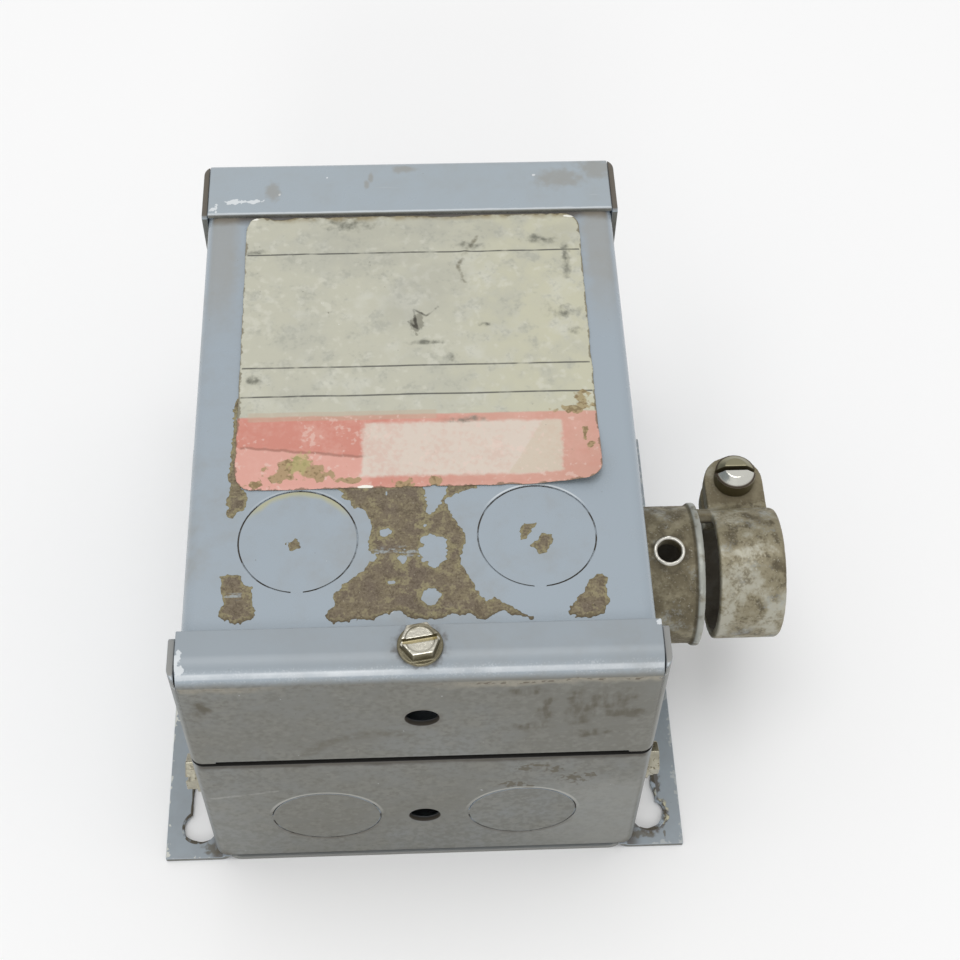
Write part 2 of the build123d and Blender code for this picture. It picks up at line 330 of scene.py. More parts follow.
def worn_solid(node, name, voxel, rounds, slack, grit, grit_size):
    """Metal piece with rounded edges and a gritty skin, which stands for its CAD node."""
    blank = welded(node)
    skin = BVHTree.FromBMesh(blank)
    source = piece_from(blank, name + "_blank")
    remesh = source.modifiers.new("skin", "REMESH")
    remesh.mode = "VOXEL"
    remesh.voxel_size = voxel
    smooth = source.modifiers.new("rounding", "SMOOTH")
    smooth.factor = 0.5
    smooth.iterations = rounds
    seen = source.evaluated_get(bpy.context.evaluated_depsgraph_get())
    mesh = bpy.data.meshes.new_from_object(seen)
    mesh.name = name
    blank = source.data
    bpy.data.objects.remove(source)
    bpy.data.meshes.remove(blank)
    points, normals = np.empty((2, len(mesh.vertices), 3), np.float32)
    mesh.vertices.foreach_get("co", points.ravel())
    mesh.vertex_normals.foreach_get("vector", normals.ravel())
    feet = [skin.find_nearest(point) for point in points.tolist()]
    away = np.array([hit[3] for hit in feet])[:, None]
    feet = np.array([hit[0] for hit in feet])
    points = np.where(away > slack, feet + (points - feet) * slack / np.maximum(away, 1e-9), points)
    pits = [min(noise.fractal(point, 1.0, 2.0, 3), 0.0) for point in (points / (grit_size * MM)).tolist()]
    points = np.clip(points + normals * np.array(pits)[:, None] * grit * MM, *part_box(node))
    mesh.vertices.foreach_set("co", points.ravel())
    mesh.polygons.foreach_set("use_smooth", [True] * len(mesh.polygons))
    piece = bpy.data.objects.new(name, mesh)
    bpy.context.scene.collection.objects.link(piece)
    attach(piece, BODY)
    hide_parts(node)
    return piece


def level_ovals(height, depth, rows):
    """Middles and radii of ovals on a level face, from rows of x, y and the two radii."""
    return [((x, y, height), (wide, long, depth)) for x, y, wide, long in rows]


def wall_ovals(rows):
    """Middles and radii of ovals on the near wall, from rows of x, z and the two radii."""
    return [((x, NEAR_Y, z), (wide, 1, high)) for x, z, wide, high in rows]


def grain(x, y, size, seed):
    """Seeded soft noise over a plane, from 0 to 1."""
    side = 128
    table = np.random.default_rng(seed).random((side, side))
    u, v = x / size, y / size
    column, row = np.floor(u).astype(int), np.floor(v).astype(int)
    s, t = u - column, v - row
    s, t = s * s * (3 - 2 * s), t * t * (3 - 2 * t)
    a, b = column % side, (column + 1) % side
    c, d = row % side, (row + 1) % side
    return (table[a, c] * (1 - s) + table[b, c] * s) * (1 - t) + (table[a, d] * (1 - s) + table[b, d] * s) * t


def outline_distance(x, y, corners):
    """Distance to a closed outline, below zero inside it."""
    nearest = np.full_like(x, np.inf)
    inside = np.zeros(x.shape, bool)
    for (ax, ay), (bx, by) in zip(corners, corners[1:] + corners[:1]):
        ex, ey, px, py = bx - ax, by - ay, x - ax, y - ay
        along = np.clip((px * ex + py * ey) / (ex * ex + ey * ey), 0, 1)
        nearest = np.minimum(nearest, np.hypot(px - ex * along, py - ey * along))
        crosses = (ay > y) != (by > y)
        inside ^= crosses & (px < ex * (y - ay) / (ey if ey else 1e-9))
    return np.where(inside, -nearest, nearest)


def oval_distance(x, y, centre, radii):
    """Rough distance to an oval, below zero inside it."""
    share = np.hypot((x - centre[0]) / radii[0], (y - centre[1]) / radii[1])
    return (share - 1) * min(radii)


def relief(name, field, low, high, pitch, under, over):
    """Thin closed piece where the field over a plane is below zero, between two heights, in millimetres."""
    columns, rows = (int((high[i] - low[i]) / pitch) + 1 for i in (0, 1))
    x, y = np.meshgrid(low[0] + pitch * np.arange(columns), low[1] + pitch * np.arange(rows), indexing="ij")
    level = field(x, y)
    inner = level < 0
    cells = inner[:-1, :-1] | inner[1:, :-1] | inner[:-1, 1:] | inner[1:, 1:]
    cells[1:, :-1] |= cells[:-1, :-1] & cells[1:, 1:] & ~cells[:-1, 1:]
    cells[:-1, :-1] |= cells[1:, :-1] & cells[:-1, 1:] & ~cells[1:, 1:]
    rim = ~inner
    step = pitch * 0.1
    for _ in range(4):
        level = field(x, y)
        slope_x = (field(x + step, y) - field(x - step, y)) / (2 * step)
        slope_y = (field(x, y + step) - field(x, y - step)) / (2 * step)
        move = np.clip(level, -pitch, pitch) / np.maximum(slope_x**2 + slope_y**2, 0.3)
        x = x - np.where(rim, move * slope_x * 0.8, 0)
        y = y - np.where(rim, move * slope_y * 0.8, 0)
    inset = np.clip(-field(x, y), 0, None)
    i, j = np.nonzero(cells)
    corner = np.stack([i * rows + j, (i + 1) * rows + j, (i + 1) * rows + j + 1, i * rows + j + 1], 1)
    used, corner = np.unique(corner, return_inverse=True)
    corner = corner.reshape(-1, 4)
    count = len(used)
    flat = [a.ravel()[used] for a in (x, y, inset)]
    top = np.stack([flat[0], flat[1], over(*flat)], 1)
    bottom = np.stack([flat[0], flat[1], under(*flat)], 1)
    sides = {}
    for face in corner:
        for a, b in zip(face, np.roll(face, -1)):
            sides[(a, b)] = (b, a) not in sides and sides.get((a, b), True)
            if (b, a) in sides:
                sides[(b, a)] = sides[(a, b)] = False
    walls = [(b, a, a + count, b + count) for (a, b), alone in sides.items() if alone]
    mesh = bpy.data.meshes.new(name)
    faces = corner.tolist() + (corner[:, ::-1] + count).tolist() + walls
    mesh.from_pydata((np.concatenate([top, bottom]) * MM).tolist(), [], faces)
    mesh.validate()
    attribute = mesh.attributes.new("inset", "FLOAT", "POINT")
    attribute.data.foreach_set("value", np.concatenate([flat[2], flat[2]]).astype(np.float32))
    mesh.polygons.foreach_set("use_smooth", [True] * len(mesh.polygons))
    piece = bpy.data.objects.new(name, mesh)
    bpy.context.scene.collection.objects.link(piece)
    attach(piece, BODY)
    return piece


class TransformerPaint(bpy.types.PropertyGroup):
    """Paint of the sheet steel and what has settled on it."""

    paint: colour_prop("Paint", "Blue-grey paint of the case", (157, 168, 177))
    # Pale coat under chipped paint, also used for painted highlights on edges and slit rims.
    primer_and_highlight: colour_prop("Chips", "Pale coat under chipped paint", (214, 219, 222))
    film: colour_prop("Film", "Thin brown film on the front", (139, 131, 115))
    # Grey film on the walls, which also carries the painted shade of the near walls.
    wall_grease_and_shade: colour_prop("Grease", "Grey film on the walls", (105, 104, 96))
    dirt: colour_prop("Dirt", "Dirt in corners and along seams", (84, 74, 62))
    raw: colour_prop("Raw edge", "Bare sheared edge of the sheet", (146, 139, 127))
    roughness: FloatProperty(
        name="Roughness", description="Roughness of clean paint", subtype="FACTOR", default=0.27,
    )
    edge: length_prop("Edge", "Width of the broken sheet edges", 0.16)


class TransformerLabel(bpy.types.PropertyGroup):
    """Bare aged label on the front."""

    thickness: length_prop("Thickness", "Thickness of the label", 0.14)
    curl: length_prop("Curl", "Height of the loose corner", 2.5)
    ground: colour_prop("Ground", "Aged ground of the label", (190, 189, 172))
    stain: colour_prop("Stain", "Grey stains on the label", (158, 159, 147))
    band: colour_prop("Band", "Faded band at the foot", (203, 134, 119))


class TransformerResidue(bpy.types.PropertyGroup):
    """Old glue on the front."""

    thickness: length_prop("Thickness", "Thickness of the glue", 0.16)
    brown: colour_prop("Brown", "Dirty glue", (109, 97, 82))
    olive: colour_prop("Olive", "Yellowed glue", (129, 118, 86))


class TransformerMetal(bpy.types.PropertyGroup):
    """Zinc-plated screws and the cast connector."""

    bright: colour_prop("Bright", "Worn zinc plate", (214, 210, 196))
    brass: colour_prop("Brass", "Yellow passivation", (118, 112, 92))
    casting: colour_prop("Casting", "Clean zinc casting", (172, 169, 154))
    grime: colour_prop("Grime", "Olive grime on the casting", (98, 89, 67))
    voxel: length_prop("Voxel", "Step of the casting's skin", 0.36)
    screw_voxel: length_prop("Screw voxel", "Step of the screws' skin", 0.11)


class TransformerStage(bpy.types.PropertyGroup):
    """Floor, light and camera."""

    floor: colour_prop("Floor", "Pale floor", (250, 250, 250))
    key_power: FloatProperty(name="Key", description="Power of the overhead lamp", unit="POWER", default=31.0)
    ambient: FloatProperty(name="Ambient", description="Strength of the surrounding light", default=0.66)
    lens: FloatProperty(
        name="Lens", description="Focal length on a 36 mm sensor", unit="CAMERA", default=63.76,
    )
    place: FloatVectorProperty(
        name="Camera place", description="Where the camera stands", subtype="TRANSLATION",
        default=(0.0008, -0.20078, 0.3471),
    )
    turn: FloatVectorProperty(
        name="Camera turn", description="How the camera is turned", subtype="EULER",
        default=(radians(34.1712), radians(-0.8809), radians(-2.2552)),
    )


class TransformerLook(bpy.types.PropertyGroup):
    """Everything that the panel shows."""

    paint: PointerProperty(type=TransformerPaint)
    label: PointerProperty(type=TransformerLabel)
    residue: PointerProperty(type=TransformerResidue)
    metal: PointerProperty(type=TransformerMetal)
    stage: PointerProperty(type=TransformerStage)


def look():
    return bpy.context.scene.transformer_look


def painted(name, film, seed):
    """Paint with film, specks and fine scratches, and painted shade on the near walls, before a sheet's own
    marks.
    """
    paint = look().paint
    coat = Finish(name, paint.paint, paint.roughness)
    cloud, mottle, fine = coat.noise(34, 4, seed), coat.noise(4.5, 5, seed + 1), coat.noise(1.1, 4, seed + 2)
    settled = (cloud - 0.5) * 1.1 + (mottle - 0.5) * 0.6 + (fine - 0.5) * 0.25
    coat.lay((settled + film).ramp(0.0, 1.0), paint.film, 0.5)
    walls = abs(coat.facing((0, 0, 1))).ramp(0.16, 0.03)
    near_wall = coat.facing((0, -1, 0)).ramp(0.5, 0.9)
    # Grey film on the near walls that is also painted shade, darkening down the bend as the surface turns
    # from up to the wall.
    near_wall_grime_and_shade = near_wall * abs(coat.facing((0, 0, 1))).ramp(0.55, 0.04)
    coat.lay(walls * (0.24 + (cloud - 0.5) * 0.9 + (mottle - 0.5) * 0.5).most(0.0), tone(128, 124, 112), 0.5)
    coat.lay(near_wall_grime_and_shade * (0.92 + (cloud - 0.5) * 0.5 + (mottle - 0.5) * 0.3), paint.wall_grease_and_shade, 0.55)
    # Grime and painted shade carried round from the near wall onto the side walls, fading away from the near
    # end.
    fading = (coat.y + (cloud - 0.5) * 50 + (mottle - 0.5) * 14).ramp(-30, -64)
    coat.lay((walls - near_wall).most(0.0) * fading * 0.7, tone(114, 113, 106), 0.55)
    streak = coat.noise(0.7, 3, seed + 7, (9, 9, 1))
    coat.lay((streak + (cloud - 0.5) * 0.5).ramp(0.52, 0.8) * near_wall_grime_and_shade * 0.14, tone(124, 123, 116), 0.55)
    coat.lay((fine + (mottle - 0.5) * 0.8).ramp(0.46, 0.7) * near_wall_grime_and_shade * 0.45, tone(128, 128, 121), 0.6)
    coat.lay((fine + (cloud - 0.5) * 0.6).ramp(0.5, 0.32) * near_wall_grime_and_shade * 0.3, tone(90, 87, 77), 0.65)
    rub = coat.noise(1.2, 4, seed + 8, (1, 7, 1)) * 0.6 + coat.noise(11, 4, seed + 9) * 0.5
    coat.lay(rub.ramp(0.54, 0.8) * (walls - near_wall).most(0.0) * 0.35, tone(112, 108, 98), 0.6)
    coat.lay(coat.noise(0.85, 2, seed + 3).ramp(0.755, 0.79) * 0.7, paint.dirt, 0.7)
    coat.lay(coat.noise(0.8, 2, seed + 4).ramp(0.775, 0.8) * 0.8, paint.primer_and_highlight, 0.5)
    scratch = coat.noise(0.9, 2, seed + 5, (14, 1.2, 6)).ramp(0.7, 0.74) * mottle.ramp(0.5, 0.7)
    coat.lay(scratch * 0.25, paint.primer_and_highlight)
    coat.lay(coat.noise(0.7, 2, seed + 6), rise=0.005)
    return coat


def worn_edges(coat, seed, amount=1.0):
    """Chipped and rubbed paint along the edges."""
    paint = look().paint
    bite = coat.edge(0.4) * 1.5 + (coat.noise(1.1, 4, seed) - 0.5) * 1.2
    bite = bite + (coat.noise(9, 2, seed + 1) - 0.5) * 1.3
    soiled = (coat.edge(0.8) + (coat.noise(3.5, 4, seed + 2) - 0.5) * 0.9).ramp(0.38, 0.75)
    coat.lay(soiled * 0.45, paint.dirt, 0.7)
    coat.lay(bite.ramp(0.52, 0.62) * amount, paint.primer_and_highlight, 0.5)


def wrapper_finish():
    """Front, walls and flanges."""
    paint = look().paint
    coat = painted("case_front_paint", 0.12, 11)
    worn_edges(coat, 21, 0.7)
    ragged = (coat.noise(2.6, 5, 31) - 0.5) * 2.6
    on_front = coat.facing((0, 0, 1)).ramp(0.7, 0.95) * coat.z.ramp(FRONT_Z - 3, FRONT_Z - 1)
    # Dirt and painted shade on the front just under the cap's edge.
    under_cap_dirt_and_shade = (coat.y + ragged * 0.7).ramp(CAP_Y - 2.6, CAP_Y - 0.3) * on_front
    coat.lay(under_cap_dirt_and_shade * 0.85, paint.dirt, 0.8)
    beside = (abs(coat.x) + ragged * 1.2).ramp(34.5, 37.5) * (coat.y + ragged * 3).ramp(10, 34) * on_front
    coat.lay(beside * 0.4, tone(150, 142, 126), 0.6)
    by_cover = (coat.y + ragged * 0.25).ramp(COVER_Y + 0.9, COVER_Y + 0.1) * on_front
    coat.lay(by_cover * 0.5, paint.dirt, 0.8)
    # Painted highlight along the far rim of each front knockout slit, fainter on the left one.
    for side in (-1, 1):
        rim = abs(coat.near((side * FRONT_KNOCKOUT_X, FRONT_KNOCKOUT_Y, FRONT_Z), (KNOCKOUT_R,) * 3) - 1.022)
        arc = coat.y.ramp(-28, -24) * (0.3 if side < 0 else 1.0)
        coat.lay(rim.ramp(0.02, 0.006) * arc * on_front * 0.8, paint.primer_and_highlight, 0.35)
    on_flange = coat.z.ramp(2.2, 1.6) * coat.facing((0, 0, 1)).ramp(0.7, 0.95)
    # Flanges darker grey: painted shade, as they sit low beside the walls.
    coat.lay(on_flange * (0.35 + ragged * 0.15), tone(124, 127, 126), 0.5)
    foot = (abs(coat.x) + ragged * 0.6).ramp(46.6, 44.0) * on_flange
    coat.lay(foot * 0.7, paint.dirt, 0.8)
    bite = (coat.noise(1.1, 5, 33) - 0.5) * 5.0 + (coat.noise(5, 2, 34) - 0.5) * 4.0
    chips = (
        (abs(coat.x) + bite).ramp(FLANGE_X - 0.1, FLANGE_X + 0.15)
        .most((-coat.y + bite).ramp(-NEAR_Y + 0.1, -NEAR_Y + 0.35))
    )
    coat.lay(chips * on_flange * (coat.x.ramp(5, -5) * 0.6 + 0.4), tone(206, 207, 200), 0.5)
    hole = (
        coat.near((KEYHOLE_X, KEYHOLE_Y, FLANGE_Z), (5.2, 5.2, 5))
        .least(coat.near((48.9, -47.5, FLANGE_Z), (3.4, 5.2, 5)))
    )
    torn = (hole + (coat.noise(1.2, 5, 35) - 0.5) * 0.8).ramp(0.92, 0.74) * on_flange
    coat.lay(torn * 0.8, paint.dirt, 0.8)
    flakes = (
        torn * (coat.noise(1.6, 4, 36) + (coat.noise(5, 2, 38) - 0.5) * 0.8).ramp(0.58, 0.66)
        * coat.x.ramp(49.5, 50.5)
    )
    coat.lay(flakes * 0.85, tone(205, 200, 168), 0.6)
    smears = level_ovals(FLANGE_Z, 1, [
        (45.4, -59.6, 2.0, 0.9), (48.4, -60.0, 1.3, 0.5), (51.6, -59.6, 0.2, 0.8), (-46.4, -59.4, 1.4, 0.8),
        (-44.6, -60.6, 2.0, 0.7),
    ])
    coat.lay(coat.spots(smears, 4.0, 37, 1.2, 0.9) * on_flange * 0.7, tone(98, 90, 72), 0.8)
    return coat.done()


class TRANSFORMER_OT_case(bpy.types.Operator):
    """Gives the bent sheets broken edges and their paint"""

    bl_idname = "transformer.case"
    bl_label = "Painted case"

    def execute(self, context):
        width = look().paint.edge
        finishes = {
            "wrapper": wrapper_finish(),
            "top_cap": cap_finish(),
            "wiring_cover": cover_finish(),
            "end_plate": plate_finish(),
        }
        plain = knockout_finish()
        for node in sorted(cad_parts):
            if node in finishes or node in KNOCKOUTS:
                piece = softened(node, node + "_sheet", width if node in finishes else width * 0.3)
                piece.data.materials.append(finishes.get(node, plain))
        return {"FINISHED"}


def cap_finish():
    """Cap over the far end."""
    paint = look().paint
    coat = painted("cap_paint", 0.16, 41)
    worn_edges(coat, 43)
    end = abs(coat.x) - 42.5
    on_top = coat.facing((0, 0, 1)).ramp(0.5, 0.9)
    # Raw edges of the tabs, darker than the cover's as painted shade.
    coat.lay(end.ramp(-0.1, 0.15) * on_top, tone(104, 98, 89), 0.8)
    coat.lay(abs(end - 0.1).ramp(0.35, 0.1) * on_top * 0.8, paint.dirt, 0.8)
    coat.lay(on_top * abs(coat.x).ramp(42.4, 42.2) * 0.5, tone(168, 178, 184))
    # Painted highlight along the cap's near edge, in the chip colour.
    near_edge_highlight = (coat.y + (coat.noise(2.2, 3, 45) - 0.5) * 0.5).ramp(CAP_Y + 0.5, CAP_Y + 0.2)
    coat.lay(near_edge_highlight * coat.z.ramp(BAND_Z - 0.6, BAND_Z - 0.1) * 0.6, paint.primer_and_highlight, 0.4)
    chips = level_ovals(BAND_Z, 1, [
        (-36.4, 50.25, 2.2, 0.6), (-32.6, 50.35, 1.2, 0.5), (-41.3, 48.5, 0.9, 0.9), (-27.6, 52.0, 0.3, 0.3),
        (-17.6, 56.7, 0.25, 0.25), (26.5, 56.5, 0.22, 0.22),
    ])
    coat.lay(coat.spots(chips, 4.5, 47, 1.3), paint.primer_and_highlight, 0.4, rise=-0.03)
    stains = level_ovals(BAND_Z, 1, [
        (-8.3, 56.8, 0.5, 1.3), (-9.2, 54.6, 0.5, 0.9), (-1.0, 58.8, 2.2, 1.0), (-29, 53.0, 1.4, 2.6),
        (32, 55.5, 4.5, 2.5), (40, 58.5, 4, 3),
    ])
    coat.lay(coat.spots(stains, 2.0, 49, 1.5, 1.1) * 0.45, paint.film, 0.6)
    return coat.done()


def cover_finish():
    """Wiring cover: painted highlight on the bend, dust line and smudges on its wall."""
    paint = look().paint
    coat = painted("cover_paint", 0.16, 51)
    worn_edges(coat, 53)
    end = abs(coat.x) - 43.1
    on_top = coat.facing((0, 0, 1)).ramp(0.5, 0.9)
    coat.lay(end.ramp(-0.1, 0.15) * on_top, paint.raw, 0.8)
    coat.lay(abs(end - 0.1).ramp(0.35, 0.1) * on_top * 0.8, paint.dirt, 0.8)
    coat.lay(on_top * (coat.noise(14, 4, 52) * 0.5 + 0.3), tone(141, 148, 153), 0.4)
    speck = coat.noise(0.32, 3, 55) + (coat.noise(6, 3, 56) - 0.5) * 0.35
    # Painted highlight along the bend where the lamp's reflection falls, broken up like rubbed paint, with
    # pale flecks only near it.
    bend = coat.facing((0, -0.79, 0.613))
    painted_bend_highlight = bend.ramp(0.987, 0.9995) * (0.46 + (coat.noise(7, 4, 54) - 0.5) * 1.2)
    coat.lay(painted_bend_highlight, tone(228, 232, 235), 0.22)
    coat.lay(bend.ramp(0.93, 0.985) * speck.ramp(0.56, 0.63) * 0.2, tone(222, 226, 228), 0.25)
    chips = [
        ((-42.5, -58.0, BAND_Z), (0.7, 1.2, 1)), ((-42.4, -60.3, BAND_Z), (0.8, 1.0, 1.4)),
        ((42.9, -53.3, BAND_Z), (0.5, 0.8, 1.5)),
    ]
    coat.lay(coat.spots(chips, 4.0, 57, 1.2) * 0.9, paint.primer_and_highlight, 0.4, rise=-0.03)
    on_wall = coat.facing((0, -1, 0)).ramp(0.9, 0.99)
    wave = coat.noise(5, 5, 59) - 0.5
    right = (coat.x + wave * 20).ramp(-2, 16)
    left = (coat.x + wave * 8).ramp(-22, -34)
    dust = (coat.z + wave * 5).ramp(76.6, 78.2) * (coat.z + wave * 1.2).ramp(79.2, 78.8) * on_wall
    coat.lay(dust * right.most(left * 0.8) * (coat.noise(0.9, 5, 61) * 1.4), tone(152, 147, 133), 0.75)
    grit = abs(coat.z + wave * 3 - 78.4).ramp(0.6, 0.1) * on_wall * coat.noise(1.1, 6, 63).ramp(0.5, 0.58)
    coat.lay(grit * right.most(0.35) * 0.8, tone(92, 82, 68), 0.8)
    brush = coat.noise(1.5, 4, 64, (1, 1, 4.5)) * 0.8 + coat.noise(6, 3, 66) * 0.5
    smear = ((-21.7, 51.7), (-18.5, 55.6), (-14.1, 57.8), (-9.8, 59.1), (-3.4, 58.7))
    smear = [(x, NEAR_Y, z) for x, z in smear]
    wiped = coat.strokes(smear, 0.4, 2.2, 2.4, 65) * coat.noise(1.6, 4, 65).ramp(0.3, 0.6)
    coat.lay(wiped * 0.65, tone(90, 86, 74), 0.6)
    ovals = wall_ovals([
        (19.0, 74.7, 3.0, 1.3), (22.6, 67.0, 1.2, 5.4), (20.6, 60.3, 2.4, 1.6), (29.0, 67.5, 2.2, 5.6),
        (33.5, 70.5, 4.2, 3.6), (36.5, 65.2, 3.6, 1.8), (31.7, 57.1, 2.4, 1.2), (-39.5, 70.6, 1.4, 3.6),
    ])
    coat.lay(coat.spots(ovals, 3.6, 67, 2.4, 1.4) * brush.ramp(0.5, 0.76), tone(82, 77, 63), 0.6)
    hole = coat.near(COVER_HOLE, (4.4, 2, 4.4)).ramp(1.0, 0.74) * coat.noise(1.5, 3, 69).ramp(0.35, 0.65)
    coat.lay(hole * 0.4, paint.dirt, 0.8)
    # Painted shade inside the hole.
    coat.lay(coat.near(COVER_HOLE, (3.2, 5, 3.2)).ramp(1.03, 0.99), tone(64, 58, 50), 0.8)
    lower = (coat.z + wave * 1.2).ramp(48.9, 48.1) * on_wall
    coat.lay(lower * 0.4, paint.dirt, 0.7)
    ragged = (coat.noise(1.2, 5, 71) - 0.5) * 0.9
    screw = (coat.near((0, -56.95, BAND_Z), (5.6, 5.6, 2)) + ragged).ramp(0.98, 0.66)
    coat.lay(screw * 0.6, paint.dirt, 0.8)
    return coat.done()


def plate_finish():
    """End plate under the cover."""
    paint = look().paint
    coat = painted("end_plate_paint", 0.18, 81)
    worn_edges(coat, 83)
    on_wall = coat.facing((0, -1, 0)).ramp(0.8, 0.98)
    wave = coat.noise(4, 5, 85) - 0.5
    # Dark band at the top of the plate and its up-facing top edge nearly black: painted shade under the
    # cover's lower edge, with dirt.
    top = (coat.z + wave * 2.2).ramp(44.9, 46.4) * on_wall
    coat.lay(top * 0.75, tone(66, 60, 51), 0.8)
    coat.lay(coat.facing((0, 0, 1)).ramp(0.25, 0.5) * coat.z.ramp(46.0, 46.6), tone(30, 28, 25), 0.9)
    pale = (coat.x + wave * 14).ramp(10, 38) * 0.4 + (coat.x + wave * 14).ramp(-26, -40) * 0.16
    coat.lay(pale * on_wall * (coat.z + wave * 8).ramp(40, 30), tone(150, 152, 149), 0.55)
    ovals = wall_ovals([
        (19.6, 41.9, 1.2, 0.9), (22.4, 43.0, 1.6, 0.8), (25.6, 41.0, 1.2, 1.0), (29.4, 36.6, 1.5, 1.5),
        (32.6, 37.8, 1.2, 0.9), (17.6, 34.5, 1.6, 0.9), (20.8, 33.4, 1.0, 0.7),
    ])
    coat.lay(coat.spots(ovals, 7.0, 87, 0.9, 0.8) * 0.75, tone(86, 79, 62), 0.7)
    scratches = [(-42.0, NEAR_Y, 31.9), (-35.0, NEAR_Y, 33.2), (-28.8, NEAR_Y, 34.6)]
    scored = coat.strokes(scratches, 0.15, 0.5, 1.0, 89) * coat.noise(1.4, 4, 90).ramp(0.3, 0.55)
    coat.lay(scored * 0.25, tone(186, 186, 181), 0.5)
    for side in (-1, 1):
        rim = coat.near((side * END_KNOCKOUT_X, NEAR_Y, END_KNOCKOUT_Z), (KNOCKOUT_R, 30, KNOCKOUT_R))
        # Painted highlight along the upper arc of each slit; dirt and painted shade along the lower arc.
        ring = abs(rim - 1.03).ramp(0.04, 0.01) * on_wall * (coat.z + wave * 8).ramp(22, 29)
        coat.lay(ring * 0.5, tone(188, 188, 182), 0.45)
        lower_rim_dirt_and_shade = abs(rim - 1.03).ramp(0.05, 0.01) * on_wall * (coat.z + wave * 8).ramp(20, 12)
        coat.lay(lower_rim_dirt_and_shade * 0.35, paint.dirt, 0.7)
    # Painted shade inside the hole.
    coat.lay(coat.near(PLATE_HOLE, (3.2, 5, 3.2)).ramp(1.03, 0.99), tone(64, 58, 50), 0.8)
    corner = (abs(coat.x) + wave * 5 - coat.z * 0.8).ramp(36.5, 40.5) * coat.z.ramp(6.5, 3.0)
    coat.lay(corner * on_wall * 0.6, paint.dirt, 0.8)
    return coat.done()


def knockout_finish():
    """Round blanks, with a glue-stained rim on one of them."""
    coat = painted("knockout_paint", 0.12, 101)
    rim = (
        coat.near((-FRONT_KNOCKOUT_X, FRONT_KNOCKOUT_Y, FRONT_Z), (KNOCKOUT_R, KNOCKOUT_R, 3))
        + (coat.noise(2.5, 4, 103) - 0.5) * 0.1
    )
    arc = (
        rim.ramp(0.84, 0.95) * coat.y.ramp(-29.5, -25.5) * coat.x.ramp(-5, -8)
        * coat.z.ramp(FRONT_Z - 2, FRONT_Z - 1)
    )
    coat.lay(arc * 0.7, tone(178, 174, 128), 0.45)
    return coat.done()


class TRANSFORMER_OT_slits(bpy.types.Operator):
    """Fills the slits around the knockouts with dirt and paint that has run in"""

    bl_idname = "transformer.slits"
    bl_label = "Filled slits"

    def execute(self, context):
        paint = look().paint
        fill = Finish("slit_fill", tone(66, 60, 52), 0.8)
        filled = (fill.noise(3.2, 4, 106) + (fill.noise(9, 2, 107) - 0.5) * 0.8).ramp(0.44, 0.6)
        run = fill.x.ramp(10, 13) * fill.x.ramp(22, 17) * fill.y.ramp(-34, -38) * fill.z.ramp(79, 80)
        fill.lay(filled.most(run) * 0.85, paint.paint, 0.45)
        material = fill.done()
        for node in KNOCKOUTS:
            low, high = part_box(node)
            thin = min(range(3), key=lambda axis: high[axis] - low[axis])
            wide = [axis for axis in range(3) if axis != thin]
            middle, radius = (low + high) / 2, min(high[axis] - low[axis] for axis in wide) / 2
            outer = low[thin] if abs(low[thin]) > abs(high[thin]) else high[thin]
            inward = 1 if outer < 0 else -1
            cut = bmesh.new()
            count = 128
            rows = []
            for reach, depth in ((-0.05, 0.12), (0.35, 0.12), (0.35, 0.6), (-0.05, 0.6)):
                row = []
                for step in range(count):
                    turn = 2 * pi * step / count
                    place = Vector()
                    place[thin] = outer + inward * depth * MM
                    place[wide[0]] = middle[wide[0]] + (radius + reach * MM) * cos(turn)
                    place[wide[1]] = middle[wide[1]] + (radius + reach * MM) * sin(turn)
                    row.append(cut.verts.new(place))
                rows.append(row)
            for row, after in zip(rows, rows[1:] + rows[:1]):
                for step in range(count):
                    cut.faces.new((row[step - 1], row[step], after[step], after[step - 1]))
            bmesh.ops.recalc_face_normals(cut, faces=cut.faces)
            piece = piece_from(cut, node + "_slit_fill")
            piece.data.materials.append(material)
            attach(piece, BODY)
        return {"FINISHED"}


class TRANSFORMER_OT_inside(bpy.types.Operator):
    """Paints the back plate, the potted core and the locknut, which keep their CAD shape"""

    bl_idname = "transformer.inside"
    bl_label = "Back and inside"

    def execute(self, context):
        metal = look().metal
        back = painted("back_paint", 0.3, 111)
        worn_edges(back, 113, 0.8)
        # Painted shade: the back plate's near lip darker, for the shadow line under the end plate.
        back.lay(back.y.ramp(NEAR_Y + 3.0, NEAR_Y + 1.6) * 0.8, tone(132, 133, 130), 0.7)
        potting = Finish("potting", tone(46, 44, 42), 0.6)
        potting.lay(potting.noise(6, 5, 121).ramp(0.35, 0.7) * 0.5, tone(70, 66, 60), 0.75)
        potting.lay(potting.noise(1.6, 4, 123), rise=0.12)
        nut = Finish("locknut_zinc", metal.casting, 0.4, 0.9)
        nut.lay(nut.noise(3, 5, 131).ramp(0.4, 0.65) * 0.7, metal.grime, 0.7, 0.2)
        for node, finish in (("back_plate", back), ("core_block", potting), ("locknut", nut)):
            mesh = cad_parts[node].data
            mesh.materials.clear()
            mesh.materials.append(finish.done())
        return {"FINISHED"}


LABEL_LOW, LABEL_HIGH, LABEL_CORNER = (-34.3, -22.5), (35.3, 46.35), 3.6


